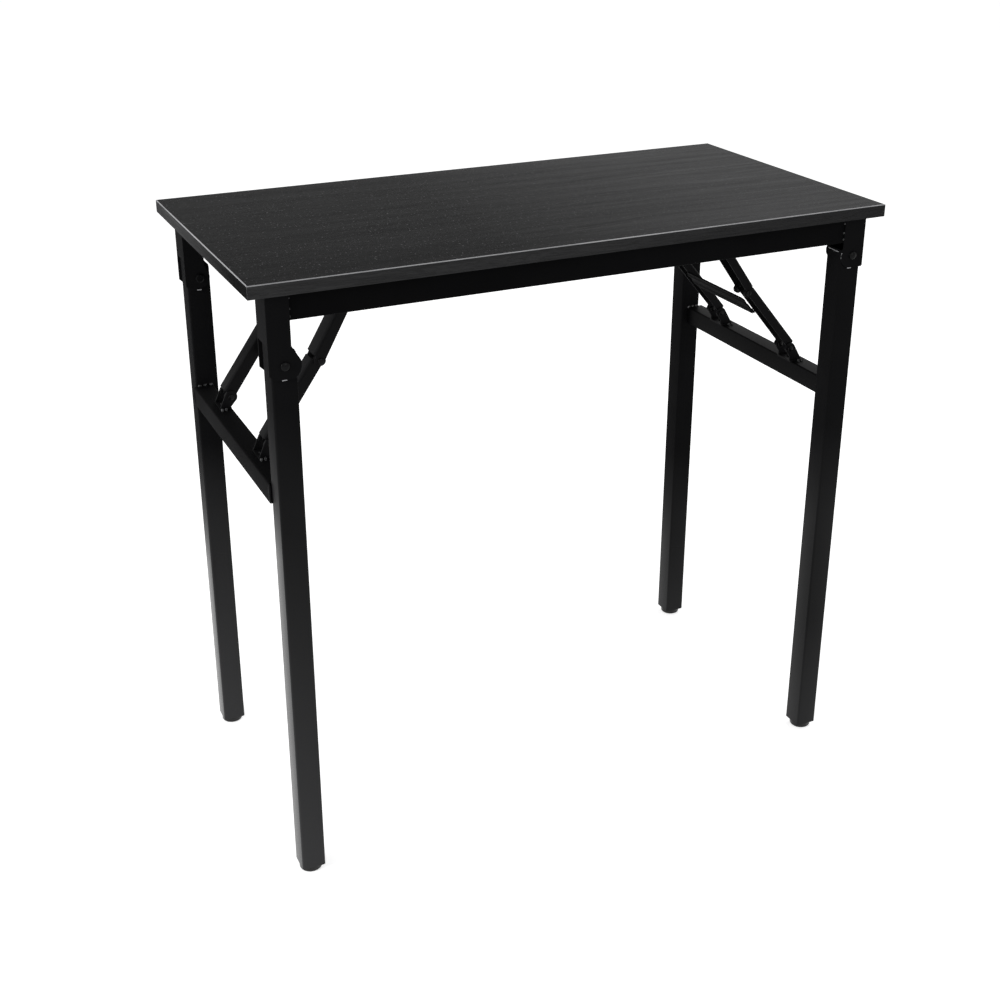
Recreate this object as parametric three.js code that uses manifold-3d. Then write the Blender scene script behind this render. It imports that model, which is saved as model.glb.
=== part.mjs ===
// A black folding desk in millimetres, +Z up, standing on the floor with its length along X.
// Two leg frames hang on pivot bolts below the rails and fold flat under the top.
// A pair of folding channel braces with a release bar holds each frame upright.

import * as THREE from "three";
import { mergeVertices } from "three/addons/utils/BufferGeometryUtils.js";
import Module from "manifold-3d";

const wasm = await Module();
wasm.setup();

// Worktop
const deskLength = 800;
const deskDepth = 400;
const deskHeight = 750;
const topThickness = 15;
const bandThickness = 1;
const bandArris = 0.7;

// Long rails under the top, and the hidden rails that tie them together
const rail = { side: 30, wall: 1.5, corner: 2, setback: 8 };
const crossRail = { side: 25, wall: 1.5, corner: 2 };

// Square leg tubes and the tube that ties each pair
const leg = { side: 29, wall: 1.5, corner: 2.5 };
const tie = { side: 25, wall: 1.5, corner: 2 };

// Plastic foot plugs
const foot = { height: 8, shank: 22, corner: 3 };
const footHeightShares = [0, 0.1, 0.32, 0.7, 1];
const footWidthShares = [0.66, 0.82, 0.93, 0.97, 0.97];

// Folded sheet brackets that carry the pivots
const bracket = { sheet: 2, drop: 15.5, cornerCut: 6, washerGap: 2.3, lip: 30 };
const bolt = { radius: 3, head: 5, headHeight: 3, collar: 9, nut: 5.5, nutHeight: 4 };

// Channel braces, equal upper and lower links with a slight bend past straight.
// The section reaches from the edge, just past the pins, to the back, where the web is.
const link = { length: 112, width: 26, edge: -1, back: 11, sheet: 1.6, ear: 6, webEnd: 3 };
const linkFromCentre = 83;
const linkBendAngle = 4.5;
const nestGap = 0.5;
const pin = { radius: 2.5, head: 4.6, headHeight: 1.8 };

// Brackets that join the braces to the tie tube and to the top
const tieBracket = { sheet: 2, length: 30, ear: 8, outer: 3 };
const topBracket = { sheet: 2, base: 28, length: 46, ear: 7 };

// Pressed bar between the lower links
const releaseBar = { start: 20, width: 30, sheet: 2, bead: 4, beadRise: 1.3, lug: 7 };

// Sizes that differ between the two ends, where the right pair of legs pivots higher
const leftEnd = {
  pivotInset: 36.4,
  pivotDrop: 78,
  legAbovePivot: 21,
  legTopRadius: 12,
  plateOuter: 17.4,
  plateInner: 7.4,
  plateEar: 18,
  flareRise: 21,
  tieOutset: 4.9,
  lowerPinInward: 11.5,
  lowerPinRise: 15,
  footInward: 11,
  footRise: 1.5,
  footAngle: -50,
  upperPinDrop: 19,
  webCutback: 37,
};
const rightEnd = {
  pivotInset: 38.6,
  pivotDrop: 46,
  legAbovePivot: 15,
  legTopRadius: 15,
  plateOuter: 16.2,
  plateInner: 13.8,
  plateEar: 16,
  flareRise: 10,
  tieOutset: 7.6,
  lowerPinInward: 16,
  lowerPinRise: 18.5,
  footInward: 15.4,
  footRise: 7.5,
  footAngle: 10,
  upperPinDrop: 20.5,
  webCutback: 33,
};
const leftBraceAngle = 57.25;
const rightBraceAngle = 52.25;
const ends = [
  { name: "left", side: -1, braceAngle: leftBraceAngle, ...leftEnd },
  { name: "right", side: 1, braceAngle: rightBraceAngle, ...rightEnd },
];

// Where the round ear of a leg bracket starts, and the same for a crossbar bracket
const plateStartAngle = 165;
const earTopAngle = 150;

// Front is the side that faces -Y
const sides = [
  { name: "front", sign: -1 },
  { name: "rear", sign: 1 },
];

// Clearances between neighbours, and round a pin in its hole
const seatGap = 0.3;
const holeGap = 0.3;

// Smoothness of curved outlines
const cornerSegments = 3;
const earSegments = 10;
const roundSegments = 14;
const weldTolerance = 0.001;

const boardBottom = deskHeight - topThickness;
const railOuter = deskDepth / 2 - rail.setback;
const railInner = railOuter - rail.side;
const legMiddle = (railOuter + railInner) / 2;
const legInner = legMiddle - leg.side / 2;
const plateOuterFace = railOuter + seatGap + bracket.sheet;
const plateInnerFace = railInner - bracket.washerGap - bracket.sheet;
const linkInner = linkFromCentre - link.width / 2;
const linkOuter = linkFromCentre + link.width / 2;

const colours = {
  board: { color: 0x34353a, roughness: 0.55, metalness: 0 },
  band: { color: 0x2a2b2f, roughness: 0.5, metalness: 0 },
  frame: { color: 0x1c1c1f, roughness: 0.45, metalness: 0.2 },
  sheet: { color: 0x1f1f22, roughness: 0.42, metalness: 0.3 },
  fastener: { color: 0x55565a, roughness: 0.35, metalness: 0.8 },
  plastic: { color: 0x121214, roughness: 0.6, metalness: 0 },
};

const desk = new THREE.Group();
desk.name = "folding_desk";

function addPiece(parent, name, geometry, finish) {
  const material = new THREE.MeshStandardMaterial({ ...finish, flatShading: true });
  const mesh = new THREE.Mesh(geometry, material);
  mesh.name = name;
  parent.add(mesh);
  return mesh;
}

function addGroup(parent, name, x, z) {
  const group = new THREE.Group();
  group.name = name;
  group.position.set(x, 0, z);
  parent.add(group);
  return group;
}

// Extrudes an outline drawn in the plane of two axes along the third, from start to end.
function prism(outline, basis, start, end, holes) {
  const points = outline.map(([a, b]) => new THREE.Vector2(a, b));
  const shape = new THREE.Shape(THREE.ShapeUtils.isClockWise(points) ? points.reverse() : points);
  for (const hole of holes) {
    shape.holes.push(new THREE.Path(hole.map(([a, b]) => new THREE.Vector2(a, b))));
  }
  const settings = { depth: end - start, bevelEnabled: false };
  const geometry = new THREE.ExtrudeGeometry(shape, settings);
  geometry.translate(0, 0, start);
  geometry.applyMatrix4(basis);
  return geometry;
}

const unitX = new THREE.Vector3(1, 0, 0);
const unitY = new THREE.Vector3(0, 1, 0);
const unitZ = new THREE.Vector3(0, 0, 1);
const basisX = new THREE.Matrix4().makeBasis(unitY, unitZ, unitX);
const basisY = new THREE.Matrix4().makeBasis(unitX, unitZ, unitY.clone().negate());
const basisZ = new THREE.Matrix4().makeBasis(unitX, unitY, unitZ);

function prismX(outline, start, end, holes = []) {
  return prism(outline, basisX, start, end, holes);
}

// The outline holds x and z, and the prism fills y from start to end.
function prismY(outline, start, end, holes = []) {
  return prism(outline, basisY, -end, -start, holes);
}

function prismZ(outline, start, end, holes = []) {
  return prism(outline, basisZ, start, end, holes);
}

function circle(a, b, radius, segments = roundSegments) {
  return Array.from({ length: segments }, (_, i) => {
    const angle = (2 * Math.PI * i) / segments;
    return [a + radius * Math.cos(angle), b + radius * Math.sin(angle)];
  });
}

// Points of an arc about a centre, with both angles in degrees.
function arc(a, b, radius, from, to, segments = earSegments) {
  return Array.from({ length: segments + 1 }, (_, i) => {
    const angle = THREE.MathUtils.degToRad(from + ((to - from) * i) / segments);
    return [a + radius * Math.cos(angle), b + radius * Math.sin(angle)];
  });
}

function roundedBox(a, b, width, height, radius) {
  const right = a + width / 2 - radius;
  const left = a - width / 2 + radius;
  const top = b + height / 2 - radius;
  const bottom = b - height / 2 + radius;
  return [
    ...arc(right, top, radius, 0, 90, cornerSegments),
    ...arc(left, top, radius, 90, 180, cornerSegments),
    ...arc(left, bottom, radius, 180, 270, cornerSegments),
    ...arc(right, bottom, radius, 270, 360, cornerSegments),
  ];
}

function box(a0, a1, b0, b1) {
  return [[a0, b0], [a1, b0], [a1, b1], [a0, b1]];
}

// The inner outline of a square tube whose outer outline is centred on the same place.
function bore(a, b, tube) {
  const clear = tube.side - 2 * tube.wall;
  return roundedBox(a, b, clear, clear, tube.corner / 2);
}

function tubeX(tube, y, z, start, end) {
  return prismX(roundedBox(y, z, tube.side, tube.side, tube.corner), start, end, [bore(y, z, tube)]);
}

function tubeY(tube, x, z, start, end) {
  return prismY(roundedBox(x, z, tube.side, tube.side, tube.corner), start, end, [bore(x, z, tube)]);
}

function tubeZ(tube, x, y, start, end) {
  return prismZ(roundedBox(x, y, tube.side, tube.side, tube.corner), start, end, [bore(x, y, tube)]);
}

// Joins rings of equally many points into one closed body, each ring flat and capped at the ends.
function loft(rings) {
  const count = rings[0].length;
  const points = rings.flat();
  const centres = [rings[0], rings.at(-1)].map((ring) => {
    const sum = ring.reduce((total, point) => total.map((value, i) => value + point[i]), [0, 0, 0]);
    return sum.map((value) => value / count);
  });
  points.push(...centres);
  const faces = [];
  rings.slice(1).forEach((_, i) => {
    for (let j = 0; j < count; j += 1) {
      const a = i * count + j;
      const b = i * count + ((j + 1) % count);
      faces.push(a, b, b + count, a, b + count, a + count);
    }
  });
  const lastRing = (rings.length - 1) * count;
  const firstCentre = rings.length * count;
  for (let j = 0; j < count; j += 1) {
    const next = (j + 1) % count;
    faces.push(firstCentre, next, j);
    faces.push(firstCentre + 1, lastRing + j, lastRing + next);
  }
  const geometry = new THREE.BufferGeometry();
  geometry.setAttribute("position", new THREE.Float32BufferAttribute(points.flat(), 3));
  geometry.setIndex(faces);
  geometry.computeVertexNormals();
  return geometry;
}

// A round piece along Y, given as pairs of place and radius from its low end to its high end.
function turnedY(x, z, profile) {
  const rings = profile.map(([y, radius]) => circle(0, 0, radius).map(([a, b]) => [x + b, y, z + a]));
  return loft(rings);
}

// Turns a profile end for end when the piece lies on the other side of the desk.
function turnedAcross(x, z, sign, profile) {
  const placed = profile.map(([y, radius]) => [sign * y, radius]);
  return turnedY(x, z, sign > 0 ? placed : placed.reverse());
}

function toSolid(geometry) {
  const bare = geometry.clone();
  bare.deleteAttribute("normal");
  bare.deleteAttribute("uv");
  const merged = mergeVertices(bare, weldTolerance);
  return new wasm.Manifold(
    new wasm.Mesh({
      numProp: 3,
      vertProperties: new Float32Array(merged.attributes.position.array),
      triVerts: new Uint32Array(merged.index.array),
    }),
  );
}

function toGeometry(solid) {
  const mesh = solid.getMesh();
  const geometry = new THREE.BufferGeometry();
  geometry.setAttribute("position", new THREE.BufferAttribute(mesh.vertProperties, 3));
  geometry.setIndex(new THREE.BufferAttribute(mesh.triVerts, 1));
  geometry.computeVertexNormals();
  return geometry;
}

function join(...geometries) {
  return toGeometry(geometries.map(toSolid).reduce((whole, piece) => whole.add(piece)));
}

function cut(geometry, ...tools) {
  return toGeometry(tools.map(toSolid).reduce((whole, tool) => whole.subtract(tool), toSolid(geometry)));
}

function common(geometry, other) {
  return toGeometry(toSolid(geometry).intersect(toSolid(other)));
}

// The board and the thin bands glued on its four edges.
function addWorktop() {
  const halfLength = deskLength / 2;
  const halfDepth = deskDepth / 2;
  const coreLength = halfLength - bandThickness;
  const coreDepth = halfDepth - bandThickness;
  const core = prismX(box(-coreDepth, coreDepth, boardBottom, deskHeight), -coreLength, coreLength);
  addPiece(desk, "top_board", core, colours.board);
  const bandOutline = (edge, inner, sign) => {
    const rounding = arc(edge - bandArris, deskHeight - bandArris, bandArris, 0, 90, cornerSegments);
    const outline = [[inner, boardBottom], [edge, boardBottom], ...rounding, [inner, deskHeight]];
    return outline.map(([a, b]) => [sign * a, b]);
  };
  for (const { name, sign } of sides) {
    const outline = bandOutline(halfDepth, coreDepth, sign);
    addPiece(desk, `edge_band_${name}`, prismX(outline, -halfLength, halfLength), colours.band);
  }
  for (const { name, side } of ends) {
    const outline = bandOutline(halfLength, coreLength, side);
    addPiece(desk, `edge_band_${name}`, prismY(outline, -coreDepth, coreDepth), colours.band);
  }
}

// Long rails whose ends lie between the plates of the leg brackets.
function addRails(places) {
  const [left, right] = places.map((place) => plateEnd(place) - place.side * (bracket.sheet + seatGap));
  for (const { name, sign } of sides) {
    const y = sign * (railOuter - rail.side / 2);
    const tube = tubeX(rail, y, boardBottom - rail.side / 2, left, right);
    addPiece(desk, `rail_${name}`, tube, colours.frame);
  }
  for (const place of places) {
    const x = place.upperPin.x - place.side * (topBracket.base / 2 + seatGap + crossRail.side / 2);
    const reach = railInner - seatGap;
    const tube = tubeY(crossRail, x, boardBottom - crossRail.side / 2, -reach, reach);
    addPiece(desk, `cross_rail_${place.name}`, tube, colours.frame);
  }
}

function plateEnd(place) {
  return place.pivot.x + place.side * place.plateOuter;
}

// Side plate of a leg bracket: straight beside the rail, round about the pivot, flat below.
function plateOutline(place) {
  const { plateOuter, plateInner, plateEar } = place;
  const rise = place.pivotDrop;
  const { drop, cornerCut } = bracket;
  const earEnd = 180 + THREE.MathUtils.radToDeg(Math.asin(drop / plateEar));
  const outline = [
    [plateOuter, rise],
    [-plateInner, rise],
    [-plateInner, place.flareRise],
    ...arc(0, 0, plateEar, plateStartAngle, earEnd),
    [plateOuter - cornerCut, -drop],
    [plateOuter, cornerCut - drop],
  ];
  return outline.map(([u, v]) => [place.pivot.x + place.side * u, place.pivot.z + v]);
}

// Two plates joined by a lip across the end of the rail, above the leg.
function legBracket(place, sign) {
  const { pivot, side } = place;
  const hole = circle(pivot.x, pivot.z, bolt.radius + holeGap);
  const outline = plateOutline(place);
  const end = plateEnd(place);
  const lipEnds = [end, end - side * bracket.sheet];
  const lip = box(Math.min(...lipEnds), Math.max(...lipEnds), boardBottom - bracket.lip, boardBottom);
  const across = (from, to) => (sign > 0 ? [from, to] : [-to, -from]);
  const outerFaces = across(plateOuterFace - bracket.sheet, plateOuterFace);
  const innerFaces = across(plateInnerFace, plateInnerFace + bracket.sheet);
  return join(
    prismY(outline, ...outerFaces, [hole]),
    prismY(outline, ...innerFaces, [hole]),
    prismY(lip, ...across(plateInnerFace, plateOuterFace)),
  );
}

// Bolt with a domed head outside, a collar beside the leg and a nut inside.
function pivotBolt(place, sign) {
  const headFace = plateOuterFace + seatGap;
  const nutFace = plateInnerFace - seatGap;
  const collarStart = plateInnerFace + bracket.sheet + seatGap;
  const collarEnd = legInner - seatGap;
  const crown = headFace + bolt.headHeight;
  return turnedAcross(place.pivot.x, place.pivot.z, sign, [
    [nutFace - bolt.nutHeight, bolt.nut],
    [nutFace, bolt.nut],
    [nutFace, bolt.radius],
    [collarStart, bolt.radius],
    [collarStart, bolt.collar],
    [collarEnd, bolt.collar],
    [collarEnd, bolt.radius],
    [headFace, bolt.radius],
    [headFace, bolt.head],
    [headFace + bolt.headHeight / 3, bolt.head],
    [crown - bolt.headHeight / 6, bolt.head * 0.75],
    [crown, bolt.head / 2],
  ]);
}

// Leg tube about its pivot, with its inner top corner rounded so that it can turn.
function legTube(place, sign) {
  const half = leg.side / 2;
  const y = sign * legMiddle;
  const top = place.legAbovePivot;
  const bottom = foot.height - place.pivot.z;
  const radius = place.legTopRadius;
  const tube = tubeZ(leg, 0, y, bottom, top);
  const corner = arc(radius - half, top - radius, radius, 90, 180, earSegments);
  const outline = [[half, bottom], [half, top], ...corner, [-half, bottom]];
  const mask = prismY(outline.map(([u, v]) => [place.side * u, v]), y - leg.side, y + leg.side);
  const drill = prismY(circle(0, 0, bolt.radius + holeGap), y - leg.side, y + leg.side);
  return cut(common(tube, mask), drill);
}

// Plug with a rounded sole below the tube and a shank inside it.
function footPlug(place, sign) {
  const y = sign * legMiddle;
  const clear = leg.side - 2 * leg.wall - 2 * seatGap;
  const floor = -place.pivot.z;
  const ring = (z, width) => {
    const radius = Math.min(foot.corner, leg.corner / 2) * (width / clear);
    return roundedBox(0, y, width, width, radius).map(([a, b]) => [a, b, floor + z]);
  };
  const sole = footHeightShares.map((share, i) => ring(share * foot.height, footWidthShares[i] * clear));
  return loft([...sole, ring(foot.height + foot.corner, clear), ring(foot.height + foot.shank, clear)]);
}

// Base plate on the tie tube with two ears that carry the lower pin.
function lowerBracket(place, sign) {
  const { lower, side } = place;
  const baseTop = lower.tieTop + tieBracket.sheet;
  const footOuter = lower.tieX + side * tieBracket.outer;
  const footInner = lower.tieX - side * place.footInward;
  const base = box(Math.min(footOuter, footInner), Math.max(footOuter, footInner), lower.tieTop, baseTop);
  const hole = circle(lower.x, lower.z, pin.radius + holeGap);
  const round = arc(0, 0, tieBracket.ear, earTopAngle, place.footAngle);
  const ear = [
    [footOuter, lower.tieTop],
    ...round.map(([a, b]) => [lower.x - side * a, lower.z + b]),
    [footInner, lower.tieTop + place.footRise],
    [footInner, lower.tieTop],
  ];
  const across = (from, to) => (sign > 0 ? [from, to] : [-to, -from]);
  const halfLength = tieBracket.length / 2;
  return join(
    prismY(base, ...across(linkFromCentre - halfLength, linkFromCentre + halfLength)),
    prismY(ear, ...across(linkInner, linkInner + link.sheet), [hole]),
    prismY(ear, ...across(linkOuter - link.sheet, linkOuter), [hole]),
  );
}

// Base plate under the board with two ears outside the upper link.
function upperBracket(place, sign) {
  const { x, z } = place.upperPin;
  const halfBase = topBracket.base / 2;
  const base = box(x - halfBase, x + halfBase, boardBottom - topBracket.sheet, boardBottom);
  const hole = circle(x, z, pin.radius + holeGap);
  const ear = [
    [x + topBracket.ear + topBracket.sheet, boardBottom],
    [x - topBracket.ear - topBracket.sheet, boardBottom],
    ...arc(x, z, topBracket.ear, 180, 360),
  ];
  const across = (from, to) => (sign > 0 ? [from, to] : [-to, -from]);
  const halfLength = topBracket.length / 2;
  const innerFace = linkInner - seatGap;
  const outerFace = linkOuter + seatGap;
  return join(
    prismY(base, ...across(linkFromCentre - halfLength, linkFromCentre + halfLength)),
    prismY(ear, ...across(innerFace - link.sheet, innerFace), [hole]),
    prismY(ear, ...across(outerFace, outerFace + link.sheet), [hole]),
  );
}

// Channel link drawn along its length s from the knee, with its web on the side of n.
// The web starts at webStart, and the ears round both pins reach past the open edge.
function channelLink(axes, sign, inner, outer, webStart) {
  const { length, edge, back, sheet, ear, webEnd } = link;
  const meet = THREE.MathUtils.radToDeg(Math.asin(-edge / ear));
  const outline = [
    ...arc(0, 0, ear, 180, 360 - meet),
    ...arc(length, 0, ear, 180 + meet, 360),
    [length + ear, back / 2],
    [length - webEnd, back],
    [webEnd, back],
    [-ear, back / 2],
  ].map(axes);
  const hole = circle(0, 0, pin.radius + holeGap);
  const holes = [0, length].map((s) => hole.map(([a, b]) => axes([s + a, b])));
  const web = box(webStart, length - webEnd, back - sheet, back).map(axes);
  const across = (from, to) => (sign > 0 ? [from, to] : [-to, -from]);
  return join(
    prismY(outline, ...across(inner, inner + sheet), holes),
    prismY(outline, ...across(outer - sheet, outer), holes),
    prismY(web, ...across(inner, outer)),
  );
}

// A maker of points in the plane of a link that starts at one place and runs towards another.
function linkAxes(start, end, side, turn) {
  const along = { x: (end.x - start.x) / link.length, z: (end.z - start.z) / link.length };
  const out = { x: turn * side * along.z, z: -turn * side * along.x };
  return ([s, n]) => [start.x + s * along.x + n * out.x, start.z + s * along.z + n * out.z];
}

function pinBetween(x, z, sign, inner, outer) {
  return turnedAcross(x, z, sign, [
    [inner - seatGap - pin.headHeight, pin.head / 2],
    [inner - seatGap - pin.headHeight / 2, pin.head],
    [inner - seatGap, pin.head],
    [inner - seatGap, pin.radius],
    [outer + seatGap, pin.radius],
    [outer + seatGap, pin.head],
    [outer + seatGap + pin.headHeight / 2, pin.head],
    [outer + seatGap + pin.headHeight, pin.head / 2],
  ]);
}

// Short rivet in the outer side of the upper link at the knee.
function kneeRivet(knee, sign) {
  const face = linkOuter + seatGap;
  return turnedAcross(knee.x, knee.z, sign, [
    [linkOuter - link.sheet, pin.radius],
    [face, pin.radius],
    [face, pin.head],
    [face + pin.headHeight / 2, pin.head],
    [face + pin.headHeight, pin.head / 2],
  ]);
}

// Pressed strip with two beads across the desk, and a lug at each end under the lower links.
function connectingBar(axes) {
  const { start, width, sheet, bead, beadRise, lug } = releaseBar;
  const near = link.edge - seatGap;
  const far = near - sheet;
  const beadAt = (middle) => [
    [middle - bead, far],
    [middle - bead / 2, far - beadRise],
    [middle + bead / 2, far - beadRise],
    [middle + bead, far],
  ];
  const outline = [
    [start, near],
    [start, far],
    ...beadAt(start + width / 4),
    ...beadAt(start + width - width / 4),
    [start + width, far],
    [start + width, near],
  ].map(axes);
  const lugBox = box(start + width - lug, start + width, far, near).map(axes);
  const barReach = linkInner - seatGap;
  const lugReach = linkInner + nestGap + 2 * link.sheet;
  return join(prismY(outline, -barReach, barReach), prismY(lugBox, -lugReach, lugReach));
}

// Where the pivots and pins of one end lie. The crossbar's height follows from the braces.
function placeEnd(end) {
  const { side } = end;
  const pivot = { x: side * (deskLength / 2 - end.pivotInset), z: boardBottom - end.pivotDrop };
  const bend = THREE.MathUtils.degToRad(linkBendAngle / 2);
  const slope = THREE.MathUtils.degToRad(end.braceAngle);
  const chord = 2 * link.length * Math.cos(bend);
  const rise = chord * Math.sin(slope);
  const run = chord * Math.cos(slope);
  const tieX = pivot.x + side * end.tieOutset;
  const lower = { x: tieX - side * end.lowerPinInward, z: boardBottom - end.upperPinDrop - rise, tieX };
  lower.tieTop = lower.z - end.lowerPinRise;
  const upperPin = { x: lower.x - side * run, z: lower.z + rise };
  const sag = link.length * Math.sin(bend);
  const knee = {
    x: lower.x - side * (run / 2 + sag * Math.sin(slope)),
    z: lower.z + rise / 2 - sag * Math.cos(slope),
  };
  return { ...end, pivot, lower, upperPin, knee };
}

const places = ends.map(placeEnd);
addWorktop();
addRails(places);

for (const place of places) {
  const { name, pivot, lower, upperPin, knee, side } = place;
  const frame = addGroup(desk, `${name}_leg_frame`, pivot.x, pivot.z);
  const local = { ...lower, x: lower.x - pivot.x, z: lower.z - pivot.z };
  local.tieX = lower.tieX - pivot.x;
  local.tieTop = lower.tieTop - pivot.z;
  const hung = { ...place, lower: local };
  const tieReach = legInner - seatGap;
  const tieTube = tubeY(tie, local.tieX, local.tieTop - tie.side / 2, -tieReach, tieReach);
  addPiece(frame, `leg_crossbar_${name}`, tieTube, colours.frame);

  const upperLinks = addGroup(desk, `${name}_upper_links`, knee.x, knee.z);
  const lowerLinks = addGroup(desk, `${name}_lower_links`, knee.x, knee.z);
  const atKnee = { x: 0, z: 0 };
  const toUpper = { x: upperPin.x - knee.x, z: upperPin.z - knee.z };
  const toLower = { x: lower.x - knee.x, z: lower.z - knee.z };
  const upperAxes = linkAxes(atKnee, toUpper, side, 1);
  const lowerAxes = linkAxes(atKnee, toLower, side, -1);
  addPiece(lowerLinks, `connecting_bar_${name}`, connectingBar(lowerAxes), colours.sheet);

  for (const { name: face, sign } of sides) {
    const tag = `${face}_${name}`;
    addPiece(desk, `leg_bracket_${tag}`, legBracket(place, sign), colours.sheet);
    addPiece(desk, `pivot_bolt_${tag}`, pivotBolt(place, sign), colours.fastener);
    addPiece(frame, `leg_${tag}`, legTube(place, sign), colours.frame);
    addPiece(frame, `foot_plug_${tag}`, footPlug(place, sign), colours.plastic);
    addPiece(frame, `brace_bracket_lower_${tag}`, lowerBracket(hung, sign), colours.sheet);
    const lowerPin = pinBetween(local.x, local.z, sign, linkInner, linkOuter);
    addPiece(frame, `brace_pin_lower_${tag}`, lowerPin, colours.fastener);

    const earInner = linkInner - seatGap - link.sheet;
    const earOuter = linkOuter + seatGap + link.sheet;
    const upperPinBody = pinBetween(upperPin.x, upperPin.z, sign, earInner, earOuter);
    addPiece(desk, `brace_bracket_upper_${tag}`, upperBracket(place, sign), colours.sheet);
    addPiece(desk, `brace_pin_upper_${tag}`, upperPinBody, colours.fastener);

    const upper = channelLink(upperAxes, sign, linkInner, linkOuter, place.webCutback);
    addPiece(upperLinks, `brace_upper_${tag}`, upper, colours.sheet);
    addPiece(upperLinks, `knee_rivet_${tag}`, kneeRivet(atKnee, sign), colours.fastener);

    const nest = link.sheet + nestGap;
    const nested = channelLink(lowerAxes, sign, linkInner + nest, linkOuter - nest, link.webEnd);
    addPiece(lowerLinks, `brace_lower_${tag}`, nested, colours.sheet);
  }
}

export default desk;
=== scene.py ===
"""A black folding desk over its CAD frame: finished pieces, finishes, studio light and camera."""

import logging
import math
from dataclasses import dataclass, field
from enum import Enum

import bpy
import numpy as np
from mathutils import Matrix, Vector


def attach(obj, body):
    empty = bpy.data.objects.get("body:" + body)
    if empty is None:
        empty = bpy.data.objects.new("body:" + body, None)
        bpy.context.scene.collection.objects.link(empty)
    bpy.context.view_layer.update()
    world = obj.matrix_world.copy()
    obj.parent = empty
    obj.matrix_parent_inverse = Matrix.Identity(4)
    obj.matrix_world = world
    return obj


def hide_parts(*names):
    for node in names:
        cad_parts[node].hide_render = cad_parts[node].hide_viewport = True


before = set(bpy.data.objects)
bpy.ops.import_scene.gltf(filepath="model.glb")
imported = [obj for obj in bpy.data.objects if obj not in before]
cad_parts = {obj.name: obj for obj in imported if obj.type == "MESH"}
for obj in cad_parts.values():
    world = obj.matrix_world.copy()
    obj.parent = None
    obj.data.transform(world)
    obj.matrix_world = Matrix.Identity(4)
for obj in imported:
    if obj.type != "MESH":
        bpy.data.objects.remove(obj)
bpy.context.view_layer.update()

MM = 0.001
LOG = logging.getLogger("folding_desk")


class Sense(Enum):
    """Which way a piece faces along the desk's depth."""

    FRONT = -1
    REAR = 1


class Slot(Enum):
    """The record's material slots."""

    LAMINATE = "top_laminate"
    BAND = "edge_band"
    TUBE = "powder_coated_tube"
    SHEET = "coated_sheet_steel"
    FASTENER = "fastener_steel"
    PLASTIC = "foot_plastic"


# Shapes


@dataclass
class Shell:
    """One closed surface: its points in millimetres and its faces as rows of point numbers."""

    points: np.ndarray
    faces: list[np.ndarray]
    mark: int = 0

    def marked(self, mark: int) -> "Shell":
        """Sets which of its piece's finishes the shell takes, and returns the shell."""
        self.mark = mark
        return self

    def outward(self) -> "Shell":
        """Turns the faces to look outwards.

        Returns:
            The shell itself. Its volume is the sum over the faces, cut into fans of triangles, of a sixth of
            the triple product of each triangle's corners; a negative sum means that the faces look inwards.
        """
        total = 0.0
        for face in self.faces:
            corners = self.points[face]
            first, second, third = corners[:, :1], corners[:, 1:-1], corners[:, 2:]
            total += float(np.sum(first * np.cross(second, third)))
        if total < 0:
            self.faces = [face[:, ::-1] for face in self.faces]
        return self


def grid_quads(rows: int, columns: int, around: bool, along: bool) -> np.ndarray:
    """Numbers the quads of a grid of points.

    Args:
        rows: How many rows of points there are.
        columns: How many points a row has.
        around: Whether the last column joins the first.
        along: Whether the last row joins the first.

    Returns:
        One row of four point numbers for each quad.
    """
    row = np.arange(rows if along else rows - 1)[:, None]
    column = np.arange(columns if around else columns - 1)[None, :]
    below, above = row * columns, ((row + 1) % rows) * columns
    after = (column + 1) % columns
    corners = (below + column, below + after, above + after, above + column)
    return np.stack([np.broadcast_to(c, np.broadcast(row, column).shape) for c in corners], -1).reshape(-1, 4)


def loft(rings: np.ndarray) -> Shell:
    """Joins closed rings into a body with flat ends.

    Args:
        rings: Points of shape (rings, points, 3), every ring going the same way round.

    Returns:
        The closed shell.
    """
    rows, columns = rings.shape[:2]
    quads = grid_quads(rows, columns, True, False)
    ends = np.stack([np.arange(columns)[::-1], np.arange(columns) + (rows - 1) * columns])
    return Shell(rings.reshape(-1, 3), [quads, ends]).outward()


def pipe(outer: np.ndarray, inner: np.ndarray) -> Shell:
    """Joins an outer wall and an inner wall at both ends into one open tube.

    Args:
        outer: Rings of the outer wall from one end to the other, of shape (rings, points, 3).
        inner: Rings of the inner wall in the same order.

    Returns:
        The closed shell of the tube's wall.
    """
    rings = np.concatenate([outer, inner[::-1]])
    quads = grid_quads(rings.shape[0], rings.shape[1], True, True)
    return Shell(rings.reshape(-1, 3), [quads]).outward()


def arc(centre: tuple[float, float], radius: float, start: float, stop: float, steps: int = 8) -> np.ndarray:
    """Points on a circle: the centre plus the radius times the cosine and sine of evenly spaced degrees."""
    angle = np.radians(np.linspace(start, stop, steps + 1))
    return np.stack([centre[0] + radius * np.cos(angle), centre[1] + radius * np.sin(angle)], -1)


def rounded_box(centre: tuple[float, float], width: float, height: float, radius: float) -> np.ndarray:
    """A rectangle whose corners are quarter circles of five steps.

    Args:
        centre: The middle of the rectangle.
        width: Its size along the first axis.
        height: Its size along the second axis.
        radius: The radius of each corner.

    Returns:
        The closed outline, anticlockwise.
    """
    reach = (width / 2 - radius, height / 2 - radius)
    corners = ((1, 1, 0), (-1, 1, 90), (-1, -1, 180), (1, -1, 270))
    return np.concatenate([
        arc((centre[0] + a * reach[0], centre[1] + b * reach[1]), radius, turn, turn + 90, 5)
        for a, b, turn in corners
    ])


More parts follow.
